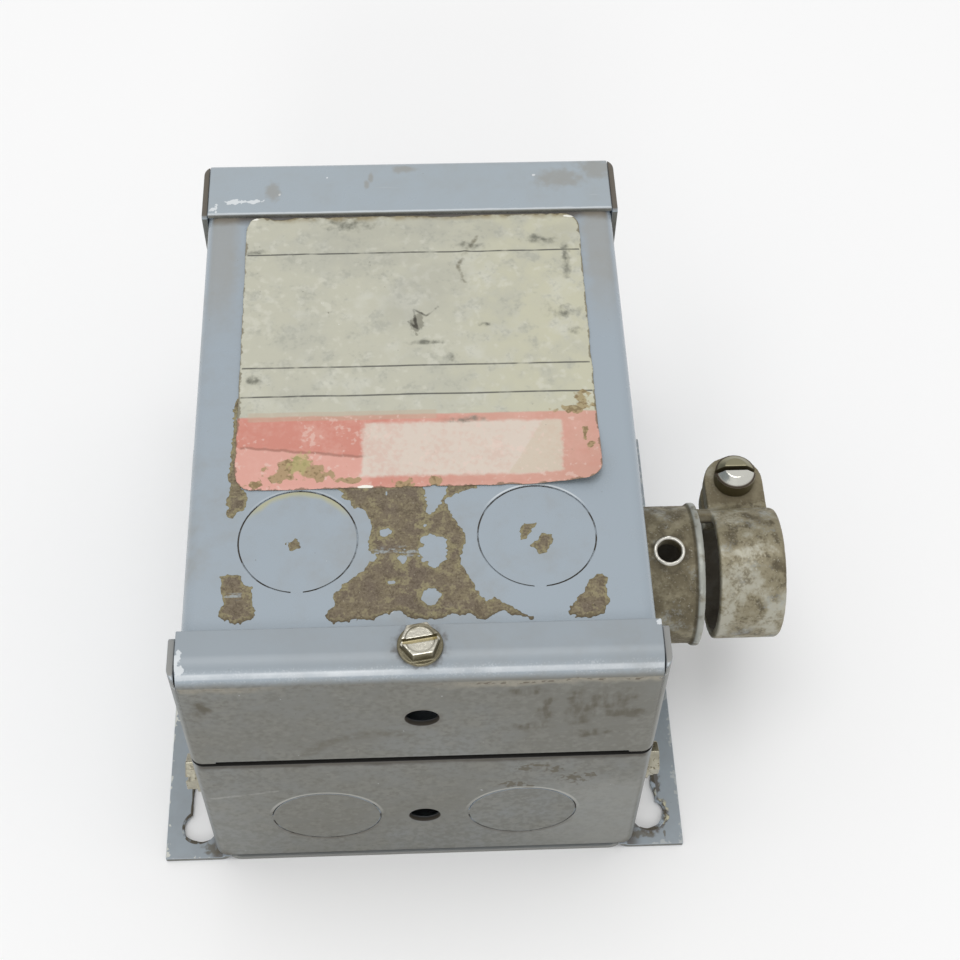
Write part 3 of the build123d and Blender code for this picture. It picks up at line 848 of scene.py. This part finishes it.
def label_field(x, y):
    """Rounded label with nicks along its foot."""
    half = [(LABEL_HIGH[i] - LABEL_LOW[i]) / 2 - LABEL_CORNER for i in (0, 1)]
    dx = np.abs(x - (LABEL_HIGH[0] + LABEL_LOW[0]) / 2) - half[0]
    dy = np.abs(y - (LABEL_HIGH[1] + LABEL_LOW[1]) / 2) - half[1]
    body = np.hypot(np.maximum(dx, 0), np.maximum(dy, 0)) + np.minimum(np.maximum(dx, dy), 0) - LABEL_CORNER
    worn = 0.16 * grain(x, y, 2.2, 5) + 0.35 * np.clip(grain(x, y, 1.3, 6) - 0.62, 0, 1)
    nicks = ((-2.0, -22.7, 0.9, 0.5), (3.2, -22.8, 0.6, 0.6), (-27.0, 46.6, 2.6, 0.7), (8.0, 46.6, 5, 0.6))
    for left, foot, wide, high in nicks:
        body = np.maximum(body, -oval_distance(x, y, (left, foot), (wide, high)))
    return body + worn


def label_lift(x, y):
    """Height of the label over the front: wrinkles and a loose corner at the foot and at the head."""
    crease = Vector((20.0, 17.0)).normalized()
    beyond = np.clip((x - 15.5) * crease.y - (y + 22.5) * crease.x, 0, None)
    lift = 2.5 * (beyond / 12.8) ** 2 * look().label.curl / (2.5 * MM)
    head = np.clip(1 - np.hypot(x + 33.5, y - 45.5) / 4.2, 0, 1)
    lift += 0.75 * head**1.5
    foot = np.clip(1 - (y + 22.5) / 1.8, 0, 1) * np.clip(grain(x, y, 5, 8) - 0.45, 0, 1)
    wrinkle = 0.16 * grain(x, y, 11, 9) + 0.09 * grain(x, y, 3.6, 10) + 0.035 * grain(x, y, 1.3, 11)
    fold = 0.2 * np.exp(-(((x - 11 - 0.12 * (y - 36)) / 0.7) ** 2)) * ((y > 27) & (y < 41))
    return lift + 0.5 * foot + wrinkle + fold


def label_finish():
    """Aged ground with ruled lines, stains, cracks and a faded band."""
    label = look().label
    film = Finish("label_film", label.ground, 0.4)
    age, mottle, fine = film.noise(14, 5, 141), film.noise(3.2, 5, 142), film.noise(0.8, 4, 143)
    creamy = (film.x + (age - 0.5) * 60).ramp(2, 26)
    film.lay(creamy * 0.75, tone(196, 194, 169), 0.4)
    film.lay((age * 0.7 + mottle * 0.5).ramp(0.52, 0.76) * 0.7, tone(180, 180, 167), 0.5)
    film.lay((film.noise(9, 5, 144) * 0.75 + mottle * 0.4).ramp(0.58, 0.72) * 0.5, tone(207, 207, 195), 0.36)
    film.lay((mottle + (fine - 0.5) * 0.6).ramp(0.52, 0.74) * 0.5, label.stain, 0.55)
    faded = (film.noise(2.0, 6, 168) + (film.noise(9, 3, 169) - 0.5) * 0.5).ramp(0.54, 0.7)
    film.lay(faded * 0.5, tone(209, 208, 194), 0.4)
    grey = level_ovals(FRONT_Z, 4, [
        (-11.0, 43.6, 4.5, 2.4), (-10.5, 38.5, 6.5, 5.0), (-4.0, 34.0, 7.0, 3.4), (3.0, 41.5, 15.0, 3.4),
        (4.0, 28.0, 6.0, 6.5), (-2.0, 20.0, 5.0, 4.0), (29.8, 41.0, 4.4, 2.8),
    ])
    film.lay(film.spots(grey, 4.0, 149, 6.0, 1.6) * 0.32, tone(160, 160, 150), 0.5)
    rule = None
    for height in (36.0, 6.4, -0.7):
        stroke = abs(film.y - height).ramp(0.28, 0.1)
        rule = stroke if rule is None else rule.most(stroke)
    inside = abs(film.x - 0.5).ramp(34.4, 34.2)
    film.lay(rule * inside * (film.noise(4, 5, 145).ramp(0.2, 0.55) * 0.85), tone(66, 66, 62), 0.5)
    ragged = (film.noise(2.4, 5, 146) - 0.5) * 1.6
    band = (film.y + ragged * 0.3).ramp(-5.3, -5.9)
    pale = (film.x + (film.noise(9, 4, 147) - 0.5) * 26).ramp(-12, 14)
    film.lay(band, label.band, 0.42)
    film.lay(band * pale * (0.3 + mottle * 0.6), tone(206, 168, 151), 0.42)
    bleached = (film.noise(5, 6, 167) + (fine - 0.5) * 0.5).ramp(0.42, 0.72)
    film.lay(band * bleached * 0.5, tone(216, 166, 152), 0.42)
    tape = abs(film.x + 14).ramp(18.5, 17.8) * abs(film.y + 5.6 + ragged * 0.2).ramp(1.2, 0.9)
    film.lay(tape * 0.5, tone(188, 168, 146), 0.4)
    slanted = film.y + (film.x + 22) * 0.12 + ragged * 0.9
    left_part = (film.x + ragged).ramp(-8.5, -9.4)
    fold = slanted.ramp(-13.9, -14.4) * left_part
    film.lay(fold * band * 0.55, tone(226, 178, 165), 0.4)
    crease = abs(slanted + 14.0).ramp(0.5, 0.1) * left_part
    film.lay(crease * film.x.ramp(-33.6, -33.2) * 0.55, tone(140, 98, 84), 0.5)
    worn = (film.noise(1.4, 6, 148) - 0.5) * 2.6
    window = (
        abs(film.x - 9.6 + worn - film.y * 0.05).ramp(19.7, 18.5)
        * abs(film.y + 13.7 + worn * 0.6).ramp(6.7, 5.7)
    )
    printed = (film.noise(1.0, 6, 158) + (film.noise(5, 4, 160) - 0.5) * 0.7).ramp(0.44, 0.7)
    film.lay(window * (0.92 - printed * 0.22), tone(214, 203, 190), 0.42)
    flap = (
        (film.x * 0.86 + film.y * -0.5 - 25.0 + ragged * 0.4).ramp(-0.2, 0.2)
        * abs(film.y + 13.7).ramp(6.4, 6.0)
    )
    film.lay(flap * window * 0.55, tone(200, 186, 164), 0.42)
    thin = (film.noise(1.1, 5, 150) + (film.noise(6, 3, 151) - 0.5) * 0.5).ramp(0.58, 0.68) * band
    film.lay(thin * 0.45, tone(226, 200, 188), 0.42)
    tan = level_ovals(FRONT_Z, 4, [
        (-22.4, -17.6, 4.6, 1.9), (-25.8, -19.8, 3.2, 1.2), (-18.2, -19.2, 2.2, 1.4),
        (-13.0, -20.6, 2.2, 0.7), (-2.6, -21.6, 1.8, 0.9), (3.6, -21.4, 1.2, 1.2), (-30.0, -21.4, 2.4, 0.6),
        (32.8, -3.4, 1.5, 1.8), (30.2, -5.2, 2.4, 0.8), (32.6, -11.0, 0.5, 1.4), (33.4, -14.0, 0.6, 0.8),
    ])
    stained = film.spots(tan, 5.0, 152, 2.0, 0.35)
    film.lay(stained * 0.85, tone(158, 139, 98), 0.6)
    film.lay(stained * (fine + mottle - 0.5).ramp(0.5, 0.62) * 0.7, tone(122, 102, 68), 0.7)
    yellowed = level_ovals(FRONT_Z, 4, [(-22.0, -16.4, 1.8, 2.4)])
    film.lay(film.spots(yellowed, 4.5, 154, 1.4, 0.7) * 0.5, tone(176, 174, 112), 0.45)
    smudges = level_ovals(FRONT_Z, 4, [
        (29.8, 19.4, 2.4, 1.3), (32.6, 14.6, 1.2, 0.7), (27.2, 39.0, 2.4, 0.9), (31.8, 33.6, 0.6, 3.6),
        (12.6, 37.6, 2.2, 0.7), (-12.6, 44.0, 3.6, 1.4), (-31.8, 36.6, 1.4, 0.5), (2.6, 12.2, 2.6, 0.35),
        (-31.6, 3.4, 1.2, 0.9), (7.6, 8.2, 1.0, 0.7), (14.4, 16.6, 1.0, 0.4), (10.0, -7.0, 3.2, 0.5),
    ])
    feather = (film.noise(1.1, 6, 162) + mottle * 0.6).ramp(0.5, 0.95)
    film.lay(film.spots(smudges, 4.5, 153, 1.6, 2.0) * feather, tone(116, 116, 104), 0.6)
    torn = level_ovals(FRONT_Z, 4, [(0.6, 17.2, 1.1, 2.2)])
    film.lay(film.spots(torn, 4.0, 156, 1.6, 0.4) * 0.7, tone(120, 118, 104), 0.7)
    tear = [(-0.9, 17.6), (0.8, 15.8), (0.4, 17.8), (0.2, 20.7), (2.6, 18.9), (3.4, 19.5), (5.1, 21.2)]
    tear = [(x, y, FRONT_Z) for x, y in tear]
    film.lay(film.strokes(tear, 0.35, 0.3, 0.8, 155) * 0.9, tone(58, 55, 46), 0.8, rise=-0.12)
    crack = [(x, y, FRONT_Z) for x, y in ((13.5, 40.0), (11.2, 35.7), (9.6, 32.0), (10.5, 27.8))]
    film.lay(film.strokes(crack, 0.15, 0.6, 1.6, 157) * 0.75, tone(104, 99, 80), 0.8, rise=-0.08)
    head = (film.y + ragged).ramp(44.4, 46.0) * film.noise(3, 5, 159).ramp(0.3, 0.6)
    film.lay(head * 0.7, tone(142, 126, 88), 0.7)
    inset = film.node("ShaderNodeAttribute", {"attribute_name": "inset"}, output="Fac")
    film.lay((inset + (film.noise(1.6, 6, 161) - 0.5) * 2.6).ramp(0.3, 0.0) * 0.7, tone(104, 93, 70), 0.8)
    film.lay((film.noise(0.9, 3, 163) + (mottle - 0.5) * 0.3).ramp(0.72, 0.8) * 0.7, tone(110, 106, 92), 0.7)
    film.lay(film.noise(0.7, 3, 164).ramp(0.745, 0.79) * 0.8, tone(232, 232, 226), 0.3)
    # Painted highlights at the top corners and at a fold on the foot.
    bright = level_ovals(FRONT_Z, 4, [
        (-33.2, 45.6, 1.5, 0.45), (33.6, 45.4, 1.6, 0.4), (-9.5, -22.2, 1.5, 0.4),
    ])
    film.lay(film.spots(bright, 1.2, 166, 0.9, 0.3) * 0.95, tone(243, 242, 232), 0.3)
    film.lay(film.noise(1.0, 3, 165), rise=0.03)
    film.lay(film.facing((0, 0, 1)).ramp(-0.2, -0.6), tone(170, 160, 135), 0.7)
    return film.done()


class TRANSFORMER_OT_label(bpy.types.Operator):
    """Lays the bare label on the front, with its wrinkles and loose corners"""

    bl_idname = "transformer.label"
    bl_label = "Bare label"

    def execute(self, context):
        thick = look().label.thickness / MM
        margin = 1.0
        low = [v - margin for v in LABEL_LOW]
        high = [v + margin for v in LABEL_HIGH]
        ground = FRONT_Z + 0.01

        def under(x, y, inset):
            return ground + label_lift(x, y)

        def over(x, y, inset):
            return under(x, y, inset) + thick * np.clip(0.4 + inset, 0.4, 1)

        piece = relief("label_sheet", label_field, low, high, pitch=0.42, under=under, over=over)
        piece.data.materials.append(label_finish())
        return {"FINISHED"}


GLUE_PATCHES = [
    # Between the knockouts, from the label's foot to the cover
    [
        (-15.9, -21.5), (-11.6, -26.6), (-9.9, -27.3), (-8.4, -29.4), (-8.4, -31.1), (-8.9, -35.7),
        (-6.9, -37.8), (-9.7, -39.3), (-11.6, -41.5), (-13.0, -42.5), (-15.2, -45.3), (-15.1, -46.9),
        (-17.3, -50.2), (-16.2, -51.1), (-9.1, -50.5), (-3.7, -49.1), (-1.5, -50.6), (0.7, -50.8),
        (5.6, -50.0), (9.4, -50.0), (11.8, -50.8), (14.3, -49.6), (20.0, -51.1), (17.1, -49.1), (13.9, -46.9),
        (12.5, -47.4), (10.9, -46.4), (9.1, -42.5), (7.7, -38.5), (8.2, -36.6), (8.6, -34.6), (7.9, -31.9),
        (6.6, -29.5), (4.9, -25.5), (7.5, -24.2), (11.5, -22.9), (11.5, -21.5),
    ],
    # Beside and below the label's left corner
    [
        (-34.4, -1.0), (-35.0, -4.0), (-34.8, -9.0), (-35.2, -14.0), (-35.0, -17.3), (-35.2, -21.8),
        (-35.4, -25.6), (-35.0, -28.5), (-34.1, -28.5), (-33.5, -27.1), (-31.8, -26.0), (-31.4, -24.6),
        (-32.6, -21.8), (-33.6, -17.3), (-33.8, -6.0),
    ],
    # Lower left
    [
        (-35.6, -41.1), (-34.0, -40.5), (-32.1, -40.9), (-31.5, -42.2), (-29.9, -43.5), (-29.8, -46.4),
        (-29.6, -49.6), (-30.9, -50.5), (-32.6, -51.2), (-34.5, -50.3), (-35.6, -48.8), (-35.4, -46.6),
    ],
    # Lower right
    [
        (33.4, -42.1), (34.2, -42.9), (34.1, -45.8), (34.3, -47.6), (33.2, -49.3), (33.0, -50.5),
        (31.6, -51.1), (29.1, -51.2), (26.7, -50.4), (28.2, -48.2), (29.7, -46.3), (31.1, -43.1),
    ],
    # Two spots in the right-hand knockout
    [
        (18.8, -31.9), (20.3, -31.1), (21.9, -31.0), (20.8, -32.3), (21.0, -33.1), (20.1, -34.3),
        (19.0, -34.6),
    ],
    [
        (20.8, -35.8), (22.1, -35.0), (23.0, -33.7), (24.4, -34.1), (24.9, -35.6), (23.9, -36.9),
        (22.2, -37.3),
    ],
]
GLUE_SPOTS = [((-22.7, -34.4), (1.2, 1.0))]
GLUE_ISLANDS = [
    [(1.2, -20.0), (5.8, -20.0), (5.6, -23.6), (4.9, -25.4), (3.4, -27.7), (1.8, -29.0), (1.4, -24.9)],
    [
        (0.2, -37.0), (-0.2, -36.2), (0.6, -35.0), (0.4, -33.6), (1.6, -33.4), (2.2, -32.6), (3.4, -33.6),
        (4.8, -33.4), (5.2, -34.8), (6.2, -35.6), (5.2, -36.8), (5.4, -38.4), (3.8, -39.0), (3.2, -40.6),
        (2.0, -39.8), (0.8, -38.8),
    ],
]
GLUE_HOLES = [
    ((2.2, -46.1), (1.9, 1.8)), ((1.4, -30.9), (0.6, 0.6)), ((-5.8, -32.3), (0.8, 0.5)),
    ((-3.0, -38.3), (0.5, 0.8)), ((-5.0, -43.0), (0.8, 0.5)),
]


def glue_field(x, y):
    """Patches of glue less their bare islands, with crumbled rims."""
    body = np.full_like(x, np.inf)
    for corners in GLUE_PATCHES:
        body = np.minimum(body, outline_distance(x, y, corners))
    for centre, radii in GLUE_SPOTS:
        body = np.minimum(body, oval_distance(x, y, centre, radii))
    for corners in GLUE_ISLANDS:
        body = np.maximum(body, -outline_distance(x, y, corners))
    for centre, radii in GLUE_HOLES:
        body = np.maximum(body, -oval_distance(x, y, centre, radii))
    crumbs = 0.7 * (grain(x, y, 2.1, 21) - 0.5) + 0.7 * (grain(x, y, 0.9, 22) - 0.5)
    crumbs = crumbs + 0.5 * (grain(x, y, 0.45, 25) - 0.5)
    bare = np.exp(-(((x + 4) / 5) ** 2) - ((y + 36.6) / 0.8) ** 2)
    pins = np.clip(grain(x, y, 0.8, 26) + 0.2 * bare - 0.93, 0, 1) * 72
    return np.maximum(body + crumbs, pins - 2.0)


class TRANSFORMER_OT_residue(bpy.types.Operator):
    """Leaves crumbled old glue on the front, around the knockouts"""

    bl_idname = "transformer.residue"
    bl_label = "Old glue"

    def execute(self, context):
        residue = look().residue
        thick = residue.thickness / MM

        def under(x, y, inset):
            return np.full_like(x, FRONT_Z - 0.02)

        def over(x, y, inset):
            rough = 0.35 + 0.55 * grain(x, y, 1.7, 23) + 0.4 * grain(x, y, 0.55, 24)
            return FRONT_Z + 0.015 + thick * rough * (1 - np.exp(-inset / 0.22))

        piece = relief("old_glue", glue_field, (-38, -53), (37, 1), pitch=0.2, under=under, over=over)
        glue = Finish("glue_residue", residue.brown, 0.72)
        cloud, crumb, fine = glue.noise(5, 5, 171), glue.noise(1.2, 6, 172), glue.noise(0.4, 5, 173)
        gritty = (fine - 0.5) * 0.9
        glue.lay((cloud + (crumb - 0.5) * 0.25 + gritty * 0.2).ramp(0.36, 0.72) * 0.8, residue.olive, 0.65)
        streak = glue.noise(0.5, 5, 177, (6, 1, 1))
        glue.lay((streak + (cloud - 0.5) * 0.4).ramp(0.5, 0.66) * 0.25, tone(142, 132, 111), 0.65)
        grit = crumb + (fine - 0.5) * 0.5
        glue.lay(grit.ramp(0.54, 0.65) * 0.55, tone(88, 77, 61), 0.8)
        glue.lay(grit.ramp(0.46, 0.35) * 0.5, tone(152, 143, 108), 0.65)
        inset = glue.node("ShaderNodeAttribute", {"attribute_name": "inset"}, output="Fac")
        thin = (inset * 0.6 + (cloud - 0.5) * 2.2 + (crumb - 0.5) * 0.8 + gritty).ramp(0.6, 0.0)
        glue.lay(thin * 0.7, tone(148, 140, 102), 0.6)
        scraped = (
            glue.near((-4, -36.6, FRONT_Z), (8, 1.5, 5))
            .least(glue.near((-33.2, -45.2, FRONT_Z), (6, 0.9, 5)))
        )
        broken = (streak + (crumb - 0.5) * 0.7).ramp(0.48, 0.58)
        glue.lay(scraped.ramp(1.0, 0.5) * broken * 0.8, tone(158, 166, 168), 0.5)
        foot = (inset + (crumb - 0.5) * 2.4).ramp(0.7, 0.1) * (glue.y + (crumb - 0.5) * 4).ramp(-47.5, -49.5)
        glue.lay(foot * 0.75, tone(84, 72, 55), 0.8)
        glue.lay((fine + (crumb - 0.5) * 0.2).ramp(0.44, 0.66) * 0.5, tone(84, 72, 60), 0.85)
        flecks = (glue.noise(0.3, 4, 174) + (crumb - 0.5) * 0.15).ramp(0.52, 0.7)
        glue.lay(flecks * 0.45, tone(138, 127, 104), 0.6)
        glue.lay(glue.noise(0.3, 3, 175).ramp(0.7, 0.75) * 0.8, tone(214, 208, 188), 0.4)
        glue.lay(fine, rise=0.1)
        piece.data.materials.append(glue.done())
        return {"FINISHED"}


class TRANSFORMER_OT_burr(bpy.types.Operator):
    """Tears the rims of the two near keyholes"""

    bl_idname = "transformer.burr"
    bl_label = "Torn keyholes"

    def execute(self, context):
        paint = look().paint
        burr = Finish("torn_rim", tone(78, 72, 60), 0.7)
        flakes = (burr.noise(1.6, 4, 181) + (burr.noise(5, 2, 184) - 0.5) * 0.8).ramp(0.6, 0.68)
        burr.lay(flakes * 0.8, tone(196, 191, 162), 0.6)
        burr.lay(burr.noise(2.6, 4, 182).ramp(0.5, 0.62), paint.paint, 0.5)
        burr.lay(burr.noise(0.5, 3, 183), rise=0.06)
        material = burr.done()
        for side, name, tear in ((-1, "torn_keyhole_left", 0.7), (1, "torn_keyhole_right", 1.0)):
            x0 = KEYHOLE_X * side

            def field(x, y):
                ring = np.hypot(x - x0, y - KEYHOLE_Y) - KEYHOLE_R
                along = np.clip(y - KEYHOLE_Y, 0, KEYHOLE_SLOT)
                groove = np.hypot(x - x0, y - KEYHOLE_Y - along) - KEYHOLE_SLOT_R
                away = np.minimum(ring, groove)
                outer = np.clip(((x - x0) * side + 2.4) / 3, 0, 1)
                bites = 1.1 * tear * np.clip(grain(x, y, 2.8, 31) - 0.25, 0, 1)
                inward = (0.1 + bites + 0.15 * grain(x, y, 0.8, 32)) * outer
                outward = (0.1 + 0.35 * tear * grain(x, y, 2.2, 34)) * outer
                return np.maximum(away - outward, -away - inward)

            def under(x, y, inset):
                return np.full_like(x, FLANGE_Z - 0.7)

            def over(x, y, inset):
                return FLANGE_Z + 0.02 + 0.1 * grain(x, y, 0.7, 33) * (1 - np.exp(-inset / 0.12))

            low, high = (x0 - 5.0, -60.5), (x0 + 6.0, -42.5)
            piece = relief(name, field, low, high, pitch=0.12, under=under, over=over)
            piece.data.materials.append(material)
        return {"FINISHED"}


def zinc_finish(name, seed, brass, worn):
    """Zinc plate with yellow passivation, rubbed bright where worn."""
    metal = look().metal
    zinc = Finish(name, metal.brass, 0.3, 0.85)
    mottle, fine = zinc.noise(1.8, 5, seed), zinc.noise(0.5, 4, seed + 1)
    zinc.lay((mottle + brass - 0.5).ramp(0.35, 0.65), tone(142, 138, 116), 0.4, 0.7)
    zinc.lay(worn * (0.75 + (mottle - 0.5) * 0.9), metal.bright, 0.2, 1.0)
    zinc.lay((fine + (mottle - 0.5) * 0.8).ramp(0.6, 0.74) * 0.85, metal.grime, 0.7, 0.2)
    zinc.lay(fine, rise=0.012)
    return zinc


# Seed, share of grey plate and wear of each screw's zinc
SCREWS = {
    "cover_screw": (191, 0.35, 0.0),
    "side_screw_left": (201, 0.5, 0.45),
    "side_screw_right": (211, 0.5, 0.45),
    "clamp_screw": (221, 0.2, 0.0),
}


class TRANSFORMER_OT_screws(bpy.types.Operator):
    """Wears the hexagon screws and the clamp screw"""

    bl_idname = "transformer.screws"
    bl_label = "Screws"

    def execute(self, context):
        metal = look().metal
        for node, (seed, brass, worn) in SCREWS.items():
            piece = worn_solid(
                node, node + "_worn", metal.screw_voxel, rounds=3, slack=0.06 * MM, grit=0.02, grit_size=0.6
            )
            low, high = (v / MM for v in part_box(node))
            middle, top = (low + high) / 2, high.z
            zinc = zinc_finish(node + "_zinc", seed, brass, worn)
            if node == "cover_screw":
                up = zinc.facing((0, 0, 1)).ramp(0.55, 0.85)
                zinc.lay(up * zinc.z.ramp(top - 2.2, top - 1.8), metal.bright, 0.22, 1.0)
                away = zinc.vector("SUBTRACT", zinc.place, middle)
                reach = zinc.length(zinc.vector("MULTIPLY", away, (1, 1, 0)))
                ring = abs(reach - 2.7 + (zinc.noise(1.0, 3, 197) - 0.5) * 0.7).ramp(0.6, 0.25)
                shade = ring * (zinc.y - middle.y + (zinc.x - middle.x) * 0.5).ramp(0.2, 1.8)
                zinc.lay(shade * up * 0.85, tone(92, 84, 60), 0.5, 0.5)
                slot = zinc.z.ramp(top - 0.55, top - 0.8) * up * reach.ramp(3.2, 3.0)
                zinc.lay(slot * 0.8, tone(150, 136, 86), 0.45, 0.7)
                rim = reach.ramp(4.05, 4.3) * up
                zinc.lay(rim, tone(215, 210, 190), 0.22, 1.0)
            if node == "clamp_screw":
                up = zinc.facing((0, 0, 1)).ramp(0.3, 0.6)
                near = (zinc.y - middle.y + (zinc.noise(1.4, 4, 227) - 0.5) * 1.2).ramp(0.3, -0.4)
                # Painted light on the head: its top lighter, its near half as a painted highlight, its sides
                # darker as painted shade.
                zinc.lay(up, tone(150, 145, 120), 0.35, 0.9)
                zinc.lay(up * near, tone(232, 231, 222), 0.2, 1.0)
                zinc.lay(zinc.facing((0, 0, 1)).ramp(0.25, 0.05), tone(96, 88, 62), 0.5, 0.6)
                zinc.lay(zinc.z.ramp(top - 1.0, top - 1.3) * up, tone(70, 58, 44), 0.7, 0.2)
            piece.data.materials.append(zinc.done())
        return {"FINISHED"}


class TRANSFORMER_OT_connector(bpy.types.Operator):
    """Gives the squeeze connector its cast skin and its grime"""

    bl_idname = "transformer.connector"
    bl_label = "Cast connector"

    def execute(self, context):
        metal = look().metal
        piece = worn_solid(
            "connector", "connector_casting", metal.voxel, rounds=4, slack=0.14 * MM, grit=0.08, grit_size=1.4
        )
        cast = Finish("cast_zinc", metal.casting, 0.42, 0.35)
        cloud, mottle, fine = cast.noise(8, 5, 241), cast.noise(2.4, 5, 242), cast.noise(0.55, 5, 243)
        bore = cast.vector("MULTIPLY", cast.vector("SUBTRACT", cast.place, BORE_AXIS), (0, 1, 1))
        radius = cast.length(bore)
        barrel, lug = cast.x.ramp(57.6, 56.4), cast.y.ramp(-4.9, -3.2)
        dirty = (cloud - 0.5) * 1.6 + (mottle - 0.5) * 1.0 + (fine - 0.5) * 0.25 + 0.47
        dirty = dirty + barrel * 0.21 + lug * 0.2
        cast.lay(dirty.ramp(0.18, 0.52), tone(138, 130, 106), 0.5, 0.3)
        cast.lay(dirty.ramp(0.48, 0.76) * 0.85, metal.grime, 0.65, 0.2)
        cast.lay((fine + (mottle - 0.5) * 0.8).ramp(0.5, 0.68) * 0.35, tone(92, 82, 62), 0.7, 0.15)
        flecks = (cast.noise(0.4, 4, 245) + (mottle - 0.5) * 0.6).ramp(0.58, 0.74)
        cast.lay(flecks * 0.4, tone(192, 188, 172), 0.36, 0.45)
        blotches = (mottle + (cloud - 0.5) * 0.5 + (fine - 0.5) * 0.3).ramp(0.55, 0.7)
        cast.lay(blotches * 0.5, tone(72, 64, 46), 0.7, 0.15)
        clean = cast.noise(5, 5, 247) + (fine - 0.5) * 0.3
        cast.lay(clean.ramp(0.56, 0.7) * (1 - lug) * 0.5, tone(172, 176, 172), 0.4, 0.4)
        cast.lay(lug * (0.5 + mottle * 0.5) * 0.7, tone(126, 116, 92), 0.6, 0.2)
        end = cast.facing((1, 0, 0)).ramp(0.6, 0.9) * cast.x.ramp(73.6, 74.2)
        cast.lay(end * 0.6, tone(176, 171, 156), 0.45, 0.4)
        # Painted shade inside the bore.
        cast.lay(radius.ramp(12.3, 11.4), tone(66, 61, 52), 0.7, 0.2)
        lip = abs(cast.x - 57.05).ramp(0.95, 0.6) * radius.ramp(14.3, 14.7)
        cast.lay(lip * (0.85 - mottle.ramp(0.48, 0.66) * 0.6), tone(166, 169, 163), 0.4, 0.4)
        neck = abs(cast.x - 59.4).ramp(1.7, 1.3) * (0.4 + mottle * 0.8)
        cast.lay(neck, tone(104, 95, 72), 0.65, 0.2)
        seat = abs(cast.x - 42.9).ramp(0.8, 0.2) + abs(cast.x - 56.1).ramp(0.5, 0.15)
        cast.lay(seat * (0.4 + mottle * 0.6) * 0.8, tone(70, 63, 48), 0.8, 0.1)
        rim = cast.near(SET_SCREW_HOLE, (3.2, 3.2, 3.2))
        bared = rim.ramp(1.0, 0.97) * radius.ramp(14.55, 14.75) * (0.7 + mottle * 0.5)
        cast.lay(bared, tone(216, 213, 204), 0.28, 0.6)
        halo = rim.ramp(1.5, 1.05) * rim.ramp(0.99, 1.03) * barrel
        cast.lay(halo * mottle.ramp(0.4, 0.6) * 0.6, tone(78, 70, 54), 0.75, 0.1)
        cast.lay(fine, rise=0.05)
        piece.data.materials.append(cast.done())
        return {"FINISHED"}


class TRANSFORMER_OT_stage(bpy.types.Operator):
    """Sets the floor, the soft light and the camera"""

    bl_idname = "transformer.stage"
    bl_label = "Stage"

    def execute(self, context):
        stage = look().stage
        scene = context.scene
        ground = bmesh.new()
        bmesh.ops.create_grid(ground, x_segments=1, y_segments=1, size=3.0)
        bmesh.ops.translate(ground, vec=(0, 0, cad_box[0][2] - 0.05 * MM), verts=ground.verts)
        floor = piece_from(ground, "floor")
        paper = Finish("floor_paper", stage.floor, 0.7).done(**{"Specular IOR Level": 0.1})
        floor.data.materials.append(paper)
        for name, place, size, power in (
            ("key_lamp", (-0.1, -0.1, 3.0), 1.9, stage.key_power),
            ("near_lamp", (-0.1, -1.2, 0.65), 0.34, stage.key_power * 0.07),
        ):
            lamp = bpy.data.lights.new(name, "AREA")
            lamp.shape = "SQUARE"
            lamp.size = size
            lamp.energy = power
            holder = bpy.data.objects.new(name, lamp)
            holder.location = place
            holder.rotation_euler = (Vector((0, 0, 0.05)) - Vector(place)).to_track_quat("-Z", "Y").to_euler()
            scene.collection.objects.link(holder)
        world = bpy.data.worlds.new("soft_room")
        world.use_nodes = True
        background = world.node_tree.nodes["Background"]
        background.inputs["Color"].default_value = (1, 1, 1, 1)
        background.inputs["Strength"].default_value = stage.ambient
        scene.world = world
        eye = bpy.data.cameras.new("photo_camera")
        eye.lens = stage.lens
        eye.sensor_width = 36
        eye.sensor_fit = "HORIZONTAL"
        eye.clip_start = 0.01
        camera = bpy.data.objects.new("photo_camera", eye)
        camera.location = stage.place
        camera.rotation_euler = stage.turn
        scene.collection.objects.link(camera)
        scene.camera = camera
        scene.view_settings.view_transform = "Standard"
        return {"FINISHED"}


STEPS = (
    TRANSFORMER_OT_case,
    TRANSFORMER_OT_slits,
    TRANSFORMER_OT_inside,
    TRANSFORMER_OT_label,
    TRANSFORMER_OT_residue,
    TRANSFORMER_OT_burr,
    TRANSFORMER_OT_screws,
    TRANSFORMER_OT_connector,
    TRANSFORMER_OT_stage,
)
GROUPS = (
    TransformerPaint, TransformerLabel, TransformerResidue, TransformerMetal, TransformerStage,
    TransformerLook,
)


class TRANSFORMER_PT_panel(bpy.types.Panel):
    """Lists the steps and what can be changed in them"""

    bl_label = "Transformer"
    bl_idname = "TRANSFORMER_PT_panel"
    bl_space_type = "VIEW_3D"
    bl_region_type = "UI"
    bl_category = "Transformer"

    def draw(self, context):
        for step in STEPS:
            self.layout.operator(step.bl_idname)
        for group in ("paint", "label", "residue", "metal", "stage"):
            box = self.layout.box()
            values = getattr(look(), group)
            for name in values.bl_rna.properties.keys():
                if name not in ("rna_type", "name"):
                    box.prop(values, name)


CLASSES = (*GROUPS, *STEPS, TRANSFORMER_PT_panel)


def register():
    for cls in CLASSES:
        bpy.utils.register_class(cls)
    bpy.types.Scene.transformer_look = PointerProperty(type=TransformerLook)


def unregister():
    del bpy.types.Scene.transformer_look
    for cls in reversed(CLASSES):
        bpy.utils.unregister_class(cls)


def main():
    register()
    for step in STEPS:
        group, name = step.bl_idname.split(".")
        getattr(getattr(bpy.ops, group), name)()


if __name__ == "__main__":
    main()
